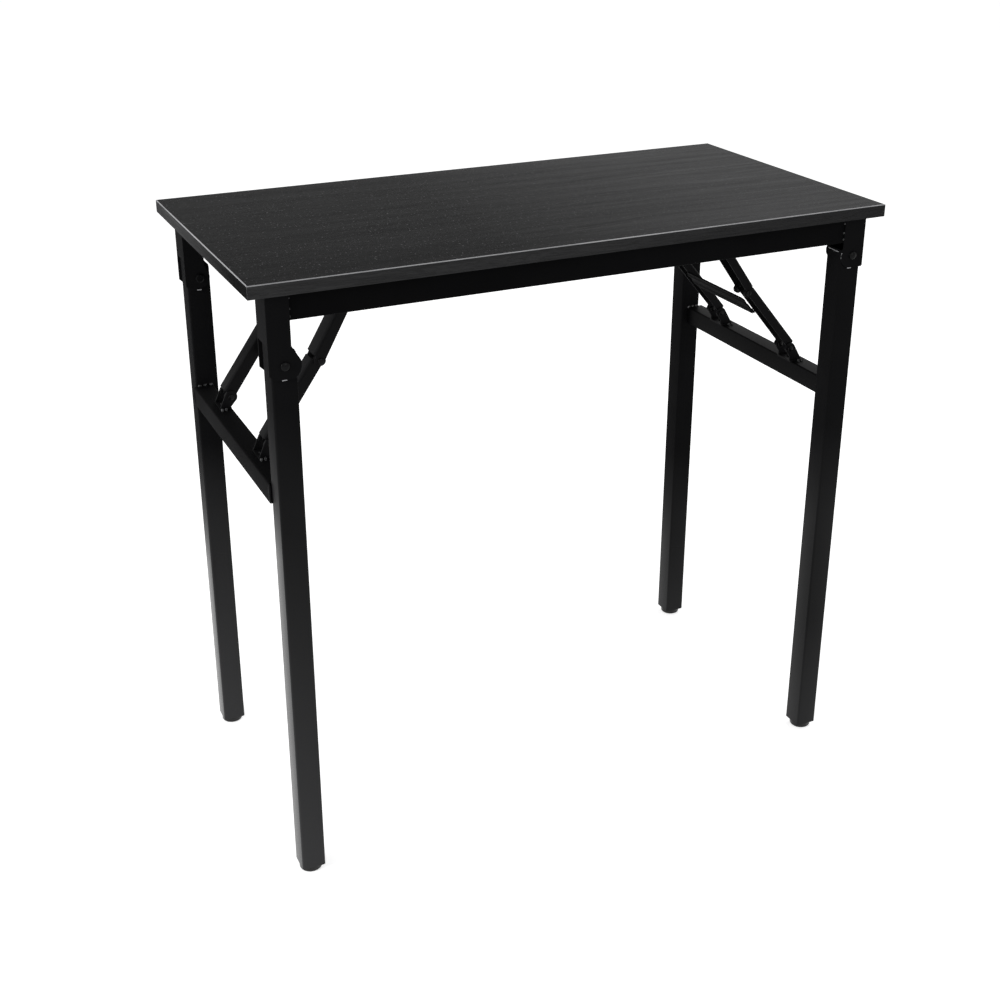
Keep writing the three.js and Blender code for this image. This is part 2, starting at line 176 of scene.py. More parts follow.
def inset(outline: np.ndarray, amount: float) -> np.ndarray:
    """Moves a closed outline inwards.

    Each point moves along the bisector of its two edges by the amount divided by the cosine of half the turn,
    which keeps every edge parallel to itself. The cosine is held above a third, so a sharp corner stays tame.

    Args:
        outline: The closed outline, either way round.
        amount: How far each edge moves.

    Returns:
        The new outline with as many points.
    """
    after = np.roll(outline, -1, 0) - outline
    after /= np.maximum(np.linalg.norm(after, axis=1, keepdims=True), 1e-9)
    before = np.roll(after, 1, 0)
    normals = np.stack([after, before])[..., ::-1] * (-1, 1)
    bisector = normals.sum(0)
    bisector /= np.maximum(np.linalg.norm(bisector, axis=1, keepdims=True), 1e-9)
    cosine = np.maximum(np.sum(bisector * normals[0], 1, keepdims=True), 0.34)
    x, y = outline.T
    turn = np.sign(np.sum(x * np.roll(y, -1) - np.roll(x, -1) * y))
    return outline + turn * bisector * amount / cosine


def across_depth(outline: np.ndarray, depth: np.ndarray | float) -> np.ndarray:
    """Stands an outline of x and z at one depth: the points become x, that depth and z."""
    return np.stack([outline[:, 0], np.broadcast_to(depth, outline.shape[:1]), outline[:, 1]], -1)


def plate(outline: np.ndarray, sense: Sense, low: float, high: float, bevel: float = 0.3) -> Shell:
    """A flat plate with softened edges.

    The outline of x and z is carried along the depth in four rings: drawn in by the bevel at both faces, and
    full from one bevel inside each face.

    Args:
        outline: The closed outline.
        sense: The side of the desk that the plate is on.
        low: The depth of its near face on the rear side, which the front side mirrors.
        high: The depth of its far face in the same way.
        bevel: The size of the softened edge.

    Returns:
        The closed shell.
    """
    if sense is Sense.FRONT:
        low, high = -high, -low
    drawn = inset(outline, bevel)
    stations = ((drawn, low), (outline, low + bevel), (outline, high - bevel), (drawn, high))
    return loft(np.stack([across_depth(ring, depth) for ring, depth in stations]))


def turned(centre: tuple[float, float], profile: np.ndarray, steps: int) -> Shell:
    """A round body about a line along the depth.

    Each profile row gives a depth and a radius, and its ring is the centre plus that radius times the cosine
    and sine of evenly spaced angles.

    Args:
        centre: The x and z of the line.
        profile: Rows of depth and radius from one end to the other.
        steps: How many points a ring has.

    Returns:
        The closed shell.
    """
    angle = np.linspace(0, 2 * np.pi, steps, endpoint=False)[None, :]
    depth, radius = profile[:, :1], profile[:, 1:]
    x = centre[0] + radius * np.cos(angle)
    z = centre[1] + radius * np.sin(angle)
    return loft(np.stack([x, np.broadcast_to(depth, x.shape), z], -1))


def dome(start: float, reach: float, radius: float, height: float, sign: int) -> np.ndarray:
    """Profile of a pan head with a short rim and a rounded crown.

    Above the rim the radius is the head's radius times the cosine of an angle that runs to a right angle, and
    the height follows the sine of the same angle.

    Args:
        start: The depth of the seat.
        reach: How far the shank goes on below the seat.
        radius: The head's radius.
        height: The head's height.
        sign: The side of the desk that the head faces.

    Returns:
        Rows of depth and radius.
    """
    angle = np.linspace(0, 0.47 * np.pi, 9)
    crown = np.stack([start + 0.35 * height + 0.65 * height * np.sin(angle), radius * np.cos(angle)], -1)
    shank = radius * 0.55
    rows = np.concatenate([[[start - reach, shank], [start, shank], [start, radius]], crown])
    return rows * (sign, 1)


def weld_bead(path: np.ndarray, radius: float, seed: int) -> Shell:
    """A seam of weld metal: a round cord along the path whose radius swells and shrinks.

    The radius is the seam's radius times one plus a tenth of a sine wave and a seeded random share, tapering
    at both ends with the square root of a half circle.

    Args:
        path: The end points of the seam.
        radius: The mean radius.
        seed: The seed of its unevenness.

    Returns:
        The closed shell.
    """
    rows, columns = 26, 8
    share = np.linspace(0, 1, rows)[:, None]
    middle = path[0] + share * (path[1] - path[0])
    along = (path[1] - path[0]) / np.linalg.norm(path[1] - path[0])
    side = np.cross(along, (0.31, 0.52, 0.79))
    side /= np.linalg.norm(side)
    third = np.cross(along, side)
    rough = np.random.default_rng(seed).normal(0, 0.07, (rows, 1))
    ripple = 1 + 0.1 * np.sin(share * 70) + rough
    taper = np.sqrt(np.clip(1 - (2 * share - 1) ** 6, 0.05, 1))
    angle = np.linspace(0, 2 * np.pi, columns, endpoint=False)[None, :, None]
    size = (radius * ripple * taper)[:, None]
    return loft(middle[:, None] + size * (np.cos(angle) * side + np.sin(angle) * third))


# Finishes


def new_group(name: str, outputs: tuple[str, ...]) -> bpy.types.NodeTree:
    """Starts a shader node group that takes coordinates.

    Args:
        name: The group's name.
        outputs: Names of the number outputs.

    Returns:
        The group with its input and output nodes named in and out.
    """
    tree = bpy.data.node_groups.new(name, "ShaderNodeTree")
    tree.interface.new_socket(name="Vector", in_out="INPUT", socket_type="NodeSocketVector")
    for key in outputs:
        tree.interface.new_socket(name=key, in_out="OUTPUT", socket_type="NodeSocketFloat")
    tree.nodes.new("NodeGroupInput").name = "in"
    tree.nodes.new("NodeGroupOutput").name = "out"
    return tree


def noise_node(tree: bpy.types.NodeTree, vector: bpy.types.NodeSocket, scale: float, detail: float,
               rough: float = 0.5) -> bpy.types.NodeSocket:
    """Adds a noise texture and returns its value.

    Args:
        tree: The tree that gets the node.
        vector: The coordinates that it reads.
        scale: How many lumps there are to a metre.
        detail: How many finer layers it has.
        rough: How strong the finer layers are.

    Returns:
        The socket with the noise's value.
    """
    node = tree.nodes.new("ShaderNodeTexNoise")
    node.inputs["Scale"].default_value = scale
    node.inputs["Detail"].default_value = detail
    node.inputs["Roughness"].default_value = rough
    tree.links.new(vector, node.inputs["Vector"])
    return node.outputs[0]


def ramp_node(tree: bpy.types.NodeTree, value: bpy.types.NodeSocket, low: float, high: float,
              to: tuple[float, float] = (0.0, 1.0)) -> bpy.types.NodeSocket:
    """Adds a map range node and returns its result.

    Args:
        tree: The tree that gets the node.
        value: The number that it reads.
        low: The value that gives the first result.
        high: The value that gives the last result.
        to: The first and last results.

    Returns:
        The socket with the result.
    """
    node = tree.nodes.new("ShaderNodeMapRange")
    for key, number in zip(("From Min", "From Max", "To Min", "To Max"), (low, high, *to)):
        node.inputs[key].default_value = number
    tree.links.new(value, node.inputs["Value"])
    return node.outputs["Result"]


def math_node(tree: bpy.types.NodeTree, operation: str, first: bpy.types.NodeSocket,
              second: bpy.types.NodeSocket | float) -> bpy.types.NodeSocket:
    """Adds a math node on a socket and a socket or a number, and returns its value."""
    node = tree.nodes.new("ShaderNodeMath")
    node.operation = operation
    tree.links.new(first, node.inputs[0])
    if isinstance(second, float):
        node.inputs[1].default_value = second
    else:
        tree.links.new(second, node.inputs[1])
    return node.outputs[0]


def stretch_node(tree: bpy.types.NodeTree, vector: bpy.types.NodeSocket,
                 scale: tuple[float, float, float]) -> bpy.types.NodeSocket:
    """Adds a mapping node that stretches coordinates, and returns its vector."""
    node = tree.nodes.new("ShaderNodeMapping")
    node.inputs["Scale"].default_value = scale
    tree.links.new(vector, node.inputs["Vector"])
    return node.outputs[0]


# Each layer of the grain: its output, its stretch, its scale, detail and roughness, and the noise values at
# which it starts and is full.
GRAIN_LAYERS = (
    ("Bands", (1.2, 34.0, 34.0), (2.2, 3.0, 0.55), (0.32, 0.68)),
    ("Fibres", (5.0, 240.0, 240.0), (2.4, 4.0, 0.6), (0.3, 0.7)),
    ("Pores", (20.0, 620.0, 620.0), (2.0, 1.0, 0.5), (0.36, 0.46)),
)
GRAIN_BEND = 0.05

# Each layer of a coat in the same way, without a stretch.
COAT_LAYERS = (
    ("Skin", (700.0, 2.0, 0.5), (0.0, 1.0)),
    ("Patches", (9.0, 3.0, 0.6), (0.3, 0.7)),
    ("Specks", (420.0, 0.0, 0.5), (0.755, 0.79)),
)


def grain_group() -> bpy.types.NodeTree:
    """Wood grain that runs along the first axis.

    Broad bands are noise stretched along the grain and bent by slow noise. Fibres are finer noise on the same
    coordinates. Pores are the darkest part of the finest noise.

    Returns:
        The group, which gives Bands, Fibres and Pores.
    """
    tree = new_group("desk_grain", tuple(layer[0] for layer in GRAIN_LAYERS))
    source = tree.nodes["in"].outputs["Vector"]
    slow = noise_node(tree, stretch_node(tree, source, (1.6, 5.0, 5.0)), 1.6, 2.0)
    shift = tree.nodes.new("ShaderNodeCombineXYZ")
    tree.links.new(math_node(tree, "MULTIPLY", slow, GRAIN_BEND), shift.inputs["Y"])
    bent = tree.nodes.new("ShaderNodeVectorMath")
    tree.links.new(source, bent.inputs[0])
    tree.links.new(shift.outputs[0], bent.inputs[1])
    for key, scale, noise, span in GRAIN_LAYERS:
        layer = noise_node(tree, stretch_node(tree, bent.outputs[0], scale), *noise)
        tree.links.new(ramp_node(tree, layer, *span), tree.nodes["out"].inputs[key])
    return tree


def coat_group() -> bpy.types.NodeTree:
    """The skin of a sprayed or moulded surface.

    Skin is fine orange-peel noise. Patches are slow noise that makes some areas duller. Specks are the rare
    peaks of a fine noise, which stand for dust.

    Returns:
        The group, which gives Skin, Patches and Specks.
    """
    tree = new_group("desk_coat", tuple(layer[0] for layer in COAT_LAYERS))
    for key, noise, span in COAT_LAYERS:
        layer = noise_node(tree, tree.nodes["in"].outputs["Vector"], *noise)
        tree.links.new(ramp_node(tree, layer, *span), tree.nodes["out"].inputs[key])
    return tree


# Pale grey painted onto the legs towards the floor, as a painted reflection of the floor.
PAINTED_REFLECTION_COLOUR = (0.07, 0.07, 0.072)
SPECK_COLOUR = (0.3, 0.3, 0.31)
# The paler grey that a foil is painted towards along one axis: a painted sheen.
PAINTED_SHEEN_COLOUR = (0.1, 0.1, 0.102)

# The slope and offset of the tilted height that the painted floor reflection follows, and where it starts and is
# full.
PAINTED_REFLECTION_TILT = ((0.4, 0.08, 1.0), 0.16)
PAINTED_REFLECTION_SPAN = (0.46, 0.0)

# The same for the dull coat under the board.
DULL_TILT = ((0.2, 0.5, 1.0), 0.1615)
DULL_SPAN = (0.42, 0.6)

SKIN_DEPTH = 0.0004


@dataclass(frozen=True)
class Finish:
    """A painted, moulded or plated surface with an orange-peel skin.

    Dark and light are its colours in the dull and the fresh patches, and rough is its roughness there. Painted
    reflection is the share of pale grey painted low on the legs as a painted reflection of the floor, and dull is
    how much rougher the coat is under the board.
    """

    name: str
    slot: Slot
    dark: tuple[float, float, float]
    light: tuple[float, float, float]
    rough: tuple[float, float]
    bump: float = 0.06
    painted_reflection: float = 0.0
    dull: float = 0.0
    specular: float = 0.5

    def build(self, groups: dict[str, bpy.types.NodeTree]) -> bpy.types.Material:
        """Makes the material.

        The painted floor reflection and the dullness each follow a tilted height, which is z plus shares of x and y
        and an offset, so that the painted reflection lies strongest and highest on the left legs.

        Args:
            groups: The shared node groups by name.

        Returns:
            The material.
        """
        material, tree, shader = self.start()
        place = tree.nodes.new("ShaderNodeTexCoord").outputs["Object"]
        coat = self.add_group(tree, groups["coat"], place)
        colour = self.mix(tree, coat.outputs["Patches"], self.dark, self.light)
        rough = ramp_node(tree, coat.outputs["Patches"], 0.0, 1.0, self.rough)
        if self.painted_reflection > 0 or self.dull > 0:
            # Pale grey towards the floor, strongest on the left legs: a painted reflection of the floor.
            reflection_share = ramp_node(tree, self.tilted(tree, place, *PAINTED_REFLECTION_TILT), *PAINTED_REFLECTION_SPAN, (0.0, self.painted_reflection))
            colour = self.mix(tree, reflection_share, colour, PAINTED_REFLECTION_COLOUR)
            height = self.tilted(tree, place, *DULL_TILT)
            rough = math_node(tree, "ADD", rough, ramp_node(tree, height, *DULL_SPAN, (0.0, self.dull)))
        tree.links.new(colour, shader.inputs["Base Color"])
        tree.links.new(rough, shader.inputs["Roughness"])
        self.add_bump(tree, coat.outputs["Skin"], self.bump, SKIN_DEPTH)
        return material

    def start(self) -> tuple[bpy.types.Material, bpy.types.NodeTree, bpy.types.ShaderNode]:
        """Starts the material, and returns it with its tree and its shader."""
        material = bpy.data.materials.new(self.name)
        material.use_nodes = True
        shader = material.node_tree.nodes["Principled BSDF"]
        shader.inputs["Specular IOR Level"].default_value = self.specular
        return material, material.node_tree, shader

    @staticmethod
    def add_group(tree: bpy.types.NodeTree, group: bpy.types.NodeTree,
                  vector: bpy.types.NodeSocket) -> bpy.types.ShaderNodeGroup:
        """Places a shared group in a material and gives it its coordinates."""
        node = tree.nodes.new("ShaderNodeGroup")
        node.node_tree = group
        tree.links.new(vector, node.inputs["Vector"])
        return node

    @staticmethod
    def tilted(tree: bpy.types.NodeTree, place: bpy.types.NodeSocket, slope: tuple[float, float, float],
               offset: float) -> bpy.types.NodeSocket:
        """Gives the dot product of a place and a slope, plus an offset."""
        tilt = tree.nodes.new("ShaderNodeVectorMath")
        tilt.operation = "DOT_PRODUCT"
        tree.links.new(place, tilt.inputs[0])
        tilt.inputs[1].default_value = slope
        return math_node(tree, "ADD", tilt.outputs["Value"], offset)

    @staticmethod
    def mix(tree: bpy.types.NodeTree, share: bpy.types.NodeSocket, first: object,
            second: object) -> bpy.types.NodeSocket:
        """Mixes two colours by a share.

        Args:
            tree: The material's tree.
            share: How much of the second colour shows.
            first: A colour, or a socket that gives one.
            second: The same for the other colour.

        Returns:
            The socket with the mixed colour.
        """
        node = tree.nodes.new("ShaderNodeMix")
        node.data_type = "RGBA"
        tree.links.new(share, node.inputs["Factor"])
        for key, colour in ((6, first), (7, second)):
            if isinstance(colour, tuple):
                node.inputs[key].default_value = (*colour, 1.0)
            else:
                tree.links.new(colour, node.inputs[key])
        return node.outputs[2]

    @staticmethod
    def add_bump(tree: bpy.types.NodeTree, height: bpy.types.NodeSocket, strength: float, depth: float) -> None:
        """Roughens the surface by a height field.

        Args:
            tree: The material's tree.
            height: The height field.
            strength: How strong the effect is.
            depth: The height of the relief in metres.
        """
        bump = tree.nodes.new("ShaderNodeBump")
        bump.inputs["Strength"].default_value = strength
        bump.inputs["Distance"].default_value = depth
        tree.links.new(height, bump.inputs["Height"])
        tree.links.new(bump.outputs[0], tree.nodes["Principled BSDF"].inputs["Normal"])


@dataclass(frozen=True)
class GrainFinish(Finish):
    """A printed or embossed wood-grain foil with specks of dust.

    Turn is the grain's turn about the vertical, pores how dark its pores are, and relief their depth in metres.
    Painted sheen is how much paler the foil is painted along one axis over a span of metres, standing in for a sheen.
    """

    dust: float = 0.0
    turn: float = 0.0
    pores: float = 0.5
    relief: float = 0.0003
    painted_sheen: float = 0.0
    painted_sheen_axis: str = "X"
    painted_sheen_span: tuple[float, float] = (-0.2, 0.3)

    def build(self, groups: dict[str, bpy.types.NodeTree]) -> bpy.types.Material:
        """Makes the material.

        Args:
            groups: The shared node groups by name.

        Returns:
            The material.
        """
        material, tree, shader = self.start()
        turn = tree.nodes.new("ShaderNodeMapping")
        turn.inputs["Rotation"].default_value = (0.0, 0.0, self.turn)
        place = tree.nodes.new("ShaderNodeTexCoord").outputs["Object"]
        tree.links.new(place, turn.inputs["Vector"])
        grain = self.add_group(tree, groups["grain"], turn.outputs[0])
        coat = self.add_group(tree, groups["coat"], place)
        streaks = math_node(tree, "MULTIPLY", grain.outputs["Bands"], 0.55)
        streaks = math_node(tree, "ADD", streaks, math_node(tree, "MULTIPLY", grain.outputs["Fibres"], 0.45))
        colour = self.mix(tree, streaks, self.dark, self.light)
        hollow = math_node(tree, "MULTIPLY", ramp_node(tree, grain.outputs["Pores"], 1.0, 0.0), self.pores)
        colour = self.mix(tree, hollow, colour, tuple(0.45 * c for c in self.dark))
        if self.dust > 0:
            mask = math_node(tree, "MULTIPLY", coat.outputs["Specks"], self.dust)
            colour = self.mix(tree, mask, colour, SPECK_COLOUR)
        # A painted sheen: the foil grows paler along one axis, most on its lighter streaks.
        if self.painted_sheen > 0:
            split = tree.nodes.new("ShaderNodeSeparateXYZ")
            tree.links.new(place, split.inputs[0])
            pale = ramp_node(tree, split.outputs[self.painted_sheen_axis], *self.painted_sheen_span, (0.0, self.painted_sheen))
            pale = math_node(tree, "MULTIPLY", pale, ramp_node(tree, streaks, 0.0, 1.0, (0.6, 1.4)))
            colour = self.mix(tree, pale, colour, PAINTED_SHEEN_COLOUR)
        tree.links.new(colour, shader.inputs["Base Color"])
        tree.links.new(ramp_node(tree, streaks, 0.0, 1.0, self.rough), shader.inputs["Roughness"])
        height = math_node(tree, "ADD", grain.outputs["Pores"], math_node(tree, "MULTIPLY", streaks, 0.6))
        self.add_bump(tree, height, self.bump, self.relief)
        return material


FINISHES: dict[str, Finish] = {
    # The board's foil, painted paler towards the right as a painted sheen.
    "laminate": GrainFinish(
        "black_woodgrain_laminate", Slot.LAMINATE, dark=(0.002, 0.002, 0.0022), light=(0.008, 0.008, 0.0084),
        rough=(0.36, 0.29), specular=0.006, bump=0.35, dust=0.4, pores=0.5, relief=0.0002, painted_sheen=0.37,
        painted_sheen_span=(-0.1, 0.25),
    ),
    # The long bands, painted paler towards the left as a painted sheen.
    "band": GrainFinish(
        "black_embossed_band", Slot.BAND, dark=(0.003, 0.003, 0.0034), light=(0.014, 0.014, 0.0146),
        rough=(0.50, 0.42), specular=0.10, bump=0.8, pores=0.6, relief=0.0005, painted_sheen=0.2, painted_sheen_span=(0.4, -0.4),
    ),
    # The end bands: the band's foil painted darker as painted shade, and paler towards the rear as a painted sheen.
    "shaded_end_band": GrainFinish(
        "black_embossed_end_band_painted_shade", Slot.BAND, dark=(0.001, 0.001, 0.0011), light=(0.003, 0.003, 0.0032),
        rough=(0.62, 0.56), specular=0.006, bump=0.8, pores=0.6, relief=0.0005, turn=math.pi / 2, painted_sheen=0.45,
        painted_sheen_axis="Y", painted_sheen_span=(-0.15, 0.06),
    ),
    # Light grey on the bands' top edges, the legs' cut tops and the brackets' edges: a painted highlight.
    "arris": Finish(
        "painted_highlight_arris", Slot.BAND, dark=(0.24, 0.24, 0.25), light=(0.40, 0.40, 0.41), rough=(0.5, 0.4),
    ),
    # The legs' coat carries the painted floor reflection low down.
    "tube": Finish(
        "black_powder_coat", Slot.TUBE, dark=(0.0032, 0.0032, 0.0035), light=(0.0042, 0.0042, 0.0046),
        rough=(0.24, 0.18), specular=0.075, bump=0.08, painted_reflection=0.6, dull=0.74,
    ),
    "satin": Finish(
        "black_satin_powder_coat", Slot.TUBE, dark=(0.002, 0.002, 0.0022), light=(0.003, 0.003, 0.0033),
        rough=(0.82, 0.76), specular=0.03, bump=0.08,
    ),
    "smooth": Finish(
        "black_smooth_powder_coat", Slot.TUBE, dark=(0.002, 0.002, 0.0022), light=(0.003, 0.003, 0.0033),
        rough=(0.46, 0.40), specular=0.02, bump=0.05,
    ),
    "sheet": Finish(
        "black_coated_sheet", Slot.SHEET, dark=(0.004, 0.004, 0.0044), light=(0.0052, 0.0052, 0.0056),
        rough=(0.58, 0.50), specular=0.05, bump=0.06,
    ),
    "strip": Finish(
        "black_coated_strip", Slot.SHEET, dark=(0.0062, 0.0062, 0.0066), light=(0.0078, 0.0078, 0.0082),
        rough=(0.62, 0.54), specular=0.006, bump=0.06,
    ),
    # Weld beads in mid grey, lighter than the black coat: real welds whose grey is a painted highlight.
    "seam": Finish(
        "weld_metal_painted_highlight", Slot.SHEET, dark=(0.04, 0.04, 0.041), light=(0.14, 0.14, 0.143),
        rough=(0.24, 0.18), specular=0.7, bump=0.2,
    ),
    "fastener": Finish(
        "black_plated_fastener", Slot.FASTENER, dark=(0.003, 0.003, 0.0033), light=(0.006, 0.006, 0.0063),
        rough=(0.18, 0.12), specular=0.07, bump=0.05,
    ),
    "plastic": Finish(
        "black_moulded_plastic", Slot.PLASTIC, dark=(0.008, 0.008, 0.008), light=(0.014, 0.014, 0.014),
        rough=(0.3, 0.22), specular=0.25, bump=0.05,
    ),
}


class Workshop:
    """Makes finished pieces from shells, and keeps the finishes."""

    smooth_angle = math.radians(32)

    def __init__(self) -> None:
        """Builds the shared node groups and every finish."""
        groups = {"grain": grain_group(), "coat": coat_group()}
        self.materials = {key: finish.build(groups) for key, finish in FINISHES.items()}

    def piece(self, name: str, body: str, finish: str | tuple[str, ...], shells: list[Shell],
              *nodes: str) -> bpy.types.Object:
        """Makes one finished piece and places it in the frame.

        Args:
            name: The piece's name.
            body: The body that it moves with.
            finish: The finish's name, or one name for each mark that its shells bear.
            shells: The closed surfaces that it is made of, in millimetres.
            nodes: The CAD nodes that it stands for.

        Returns:
            The new object.
        """
        keys = (finish,) if isinstance(finish, str) else finish
        mesh = bpy.data.meshes.new(name)
        faces: list[list[int]] = []
        marks: list[int] = []
        start = 0
        for shell in shells:
            for group in shell.faces:
                faces.extend((group + start).tolist())
                marks.extend([shell.mark] * len(group))
            start += len(shell.points)
        points = np.concatenate([shell.points for shell in shells]) * MM
        mesh.from_pydata(points.tolist(), [], faces)
        mesh.polygons.foreach_set("use_smooth", np.ones(len(faces), bool))
        for key in keys:
            mesh.materials.append(self.materials[key])
        mesh.polygons.foreach_set("material_index", np.array(marks, np.int32))
        mesh.set_sharp_from_angle(angle=self.smooth_angle)
        mesh.update()
        piece = bpy.data.objects.new(name, mesh)
        bpy.context.scene.collection.objects.link(piece)
        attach(piece, body)
        if nodes:
            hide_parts(*nodes)
        LOG.info("%s: %d faces on %s", name, len(faces), body)
        return piece

    def dress(self, node: str, finish: str) -> None:
        """Gives a CAD node its finish."""
        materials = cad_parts[node].data.materials
        materials.clear()
        materials.append(self.materials[finish])


# The desk


@dataclass(frozen=True)
class Tube:
    """A square tube's section."""

    side: float
    wall: float
    corner: float

    def outer(self, centre: tuple[float, float]) -> np.ndarray:
        """The outer outline."""
        return rounded_box(centre, self.side, self.side, self.corner)

    def inner(self, centre: tuple[float, float]) -> np.ndarray:
        """The outline of the bore."""
        clear = self.side - 2 * self.wall
        return rounded_box(centre, clear, clear, self.corner / 2)

    def along_depth(self, centre: tuple[float, float], low: float, high: float) -> Shell:
        """A tube from one depth to another, whose section lies in x and z."""
        walls = []
        for ring in (self.outer(centre), self.inner(centre)):
            walls.append(np.stack([across_depth(ring, depth) for depth in (low, high)]))
        return pipe(*walls)

    def along_length(self, centre: tuple[float, float], low: float, high: float) -> Shell:
        """A tube from one x to another, whose section lies in y and z."""
        walls = []
        for ring in (self.outer(centre), self.inner(centre)):
            walls.append(np.stack([np.insert(ring, 0, x, 1) for x in (low, high)]))
        return pipe(*walls)


@dataclass(frozen=True)
class EndPlan:
    """Sizes of one end of the desk, in millimetres and degrees, and the places that follow from them.

    Plate and ear sizes are taken from the pivot. Flare rise is how far above it the outer plate starts to widen,
    and lip is how far the bracket's end lip hangs below the board. Link edges are where the links' open edges lie
    at the upper pin, the knee and the lower pin. Highlight mark is where the painted highlight on the plates' feet
    lies. Closed end tells whether weld metal closes the crossbar's end where it stands out past the leg.
    """

    name: str
    side: int
    pivot_inset: float
    pivot_drop: float
    leg_above_pivot: float
    leg_top_radius: float
    plate_outer: float
    plate_inner: float
    plate_ear: float
    flare_rise: float
    corner_cut: float
    lip: float
    inner_plate: float
    inner_ear: float
    link_edges: tuple[float, float, float]
    highlight_mark: float
    tie_outset: float
    lower_pin_inward: float
    lower_pin_rise: float
    foot_inward: float
    foot_rise: float
    foot_angle: float
    upper_pin_drop: float
    brace_angle: float
    bar_finish: str
    closed_end: bool
    half_length: float = 400.0
    board_bottom: float = 735.0
    link_length: float = 112.0
    bend_angle: float = 4.5

    @property
    def pivot(self) -> tuple[float, float]:
        """The x and z of the leg's pivot."""
        return self.side * (self.half_length - self.pivot_inset), self.board_bottom - self.pivot_drop

    @property
    def chord(self) -> tuple[float, float]:
        """The run and rise from the lower pin to the upper pin."""
        length = 2 * self.link_length * math.cos(math.radians(self.bend_angle / 2))
        slope = math.radians(self.brace_angle)
        return length * math.cos(slope), length * math.sin(slope)

    @property
    def tie_x(self) -> float:
        """The x of the crossbar's middle."""
        return self.pivot[0] + self.side * self.tie_outset

    @property
    def lower_pin(self) -> tuple[float, float]:
        """The x and z of the lower brace pin."""
        return self.tie_x - self.side * self.lower_pin_inward, self.board_bottom - self.upper_pin_drop - self.chord[1]

    @property
    def tie_top(self) -> float:
        """The height of the crossbar's top."""
        return self.lower_pin[1] - self.lower_pin_rise

    @property
    def upper_pin(self) -> tuple[float, float]:
        """The x and z of the upper brace pin."""
        run, rise = self.chord
        return self.lower_pin[0] - self.side * run, self.lower_pin[1] + rise

    @property
    def knee(self) -> tuple[float, float]:
        """The x and z of the knee."""
        run, rise = self.chord
        sag = self.link_length * math.sin(math.radians(self.bend_angle / 2))
        slope = math.radians(self.brace_angle)
        x = self.lower_pin[0] - self.side * (run / 2 + sag * math.sin(slope))
        return x, self.lower_pin[1] + rise / 2 - sag * math.cos(slope)

    def body(self, part: str) -> str:
        """The name of one of this end's bodies."""
        return f"{self.name}_{part}"


LEFT = EndPlan(
    "left", -1, pivot_inset=36.4, pivot_drop=78.0, leg_above_pivot=21.0, leg_top_radius=12.0, plate_outer=17.4,
    plate_inner=8.4, plate_ear=18.6, flare_rise=21.0, corner_cut=6.0, lip=55.0, inner_plate=7.4, inner_ear=13.2,
    link_edges=(-1.2, -4.4, -5.0), highlight_mark=-1.0, tie_outset=4.9, lower_pin_inward=11.5, lower_pin_rise=15.0,
    foot_inward=11.0, foot_rise=1.5, foot_angle=-50.0, upper_pin_drop=19.0, brace_angle=57.25,
    bar_finish="satin", closed_end=True,
)
RIGHT = EndPlan(
    "right", 1, pivot_inset=38.6, pivot_drop=46.0, leg_above_pivot=15.0, leg_top_radius=15.0, plate_outer=16.2,
    plate_inner=13.8, plate_ear=16.0, flare_rise=10.0, corner_cut=1.5, lip=30.0, inner_plate=9.6, inner_ear=12.5,
    link_edges=(-1.0, -1.0, -1.0), highlight_mark=-3.0, tie_outset=7.6, lower_pin_inward=16.0, lower_pin_rise=18.5,
    foot_inward=15.4, foot_rise=7.5, foot_angle=10.0, upper_pin_drop=20.5, brace_angle=52.25,
    bar_finish="smooth", closed_end=False,
)
ENDS = (LEFT, RIGHT)
SIDES = (("front", Sense.FRONT), ("rear", Sense.REAR))
RAIL_OUTER = 192.0
RAIL_INNER = 162.0
LEG_MIDDLE = 177.0
LEG_SIDE = 29.0
LEG_INNER = LEG_MIDDLE - LEG_SIDE / 2
LINK_INNER = 70.0
LINK_OUTER = 96.0
LINK_SHEET = 1.6
NEST = 2.1
GAP = 0.3
RIVET_RADIUS = 3.8
RIVET_HEIGHT = 1.9


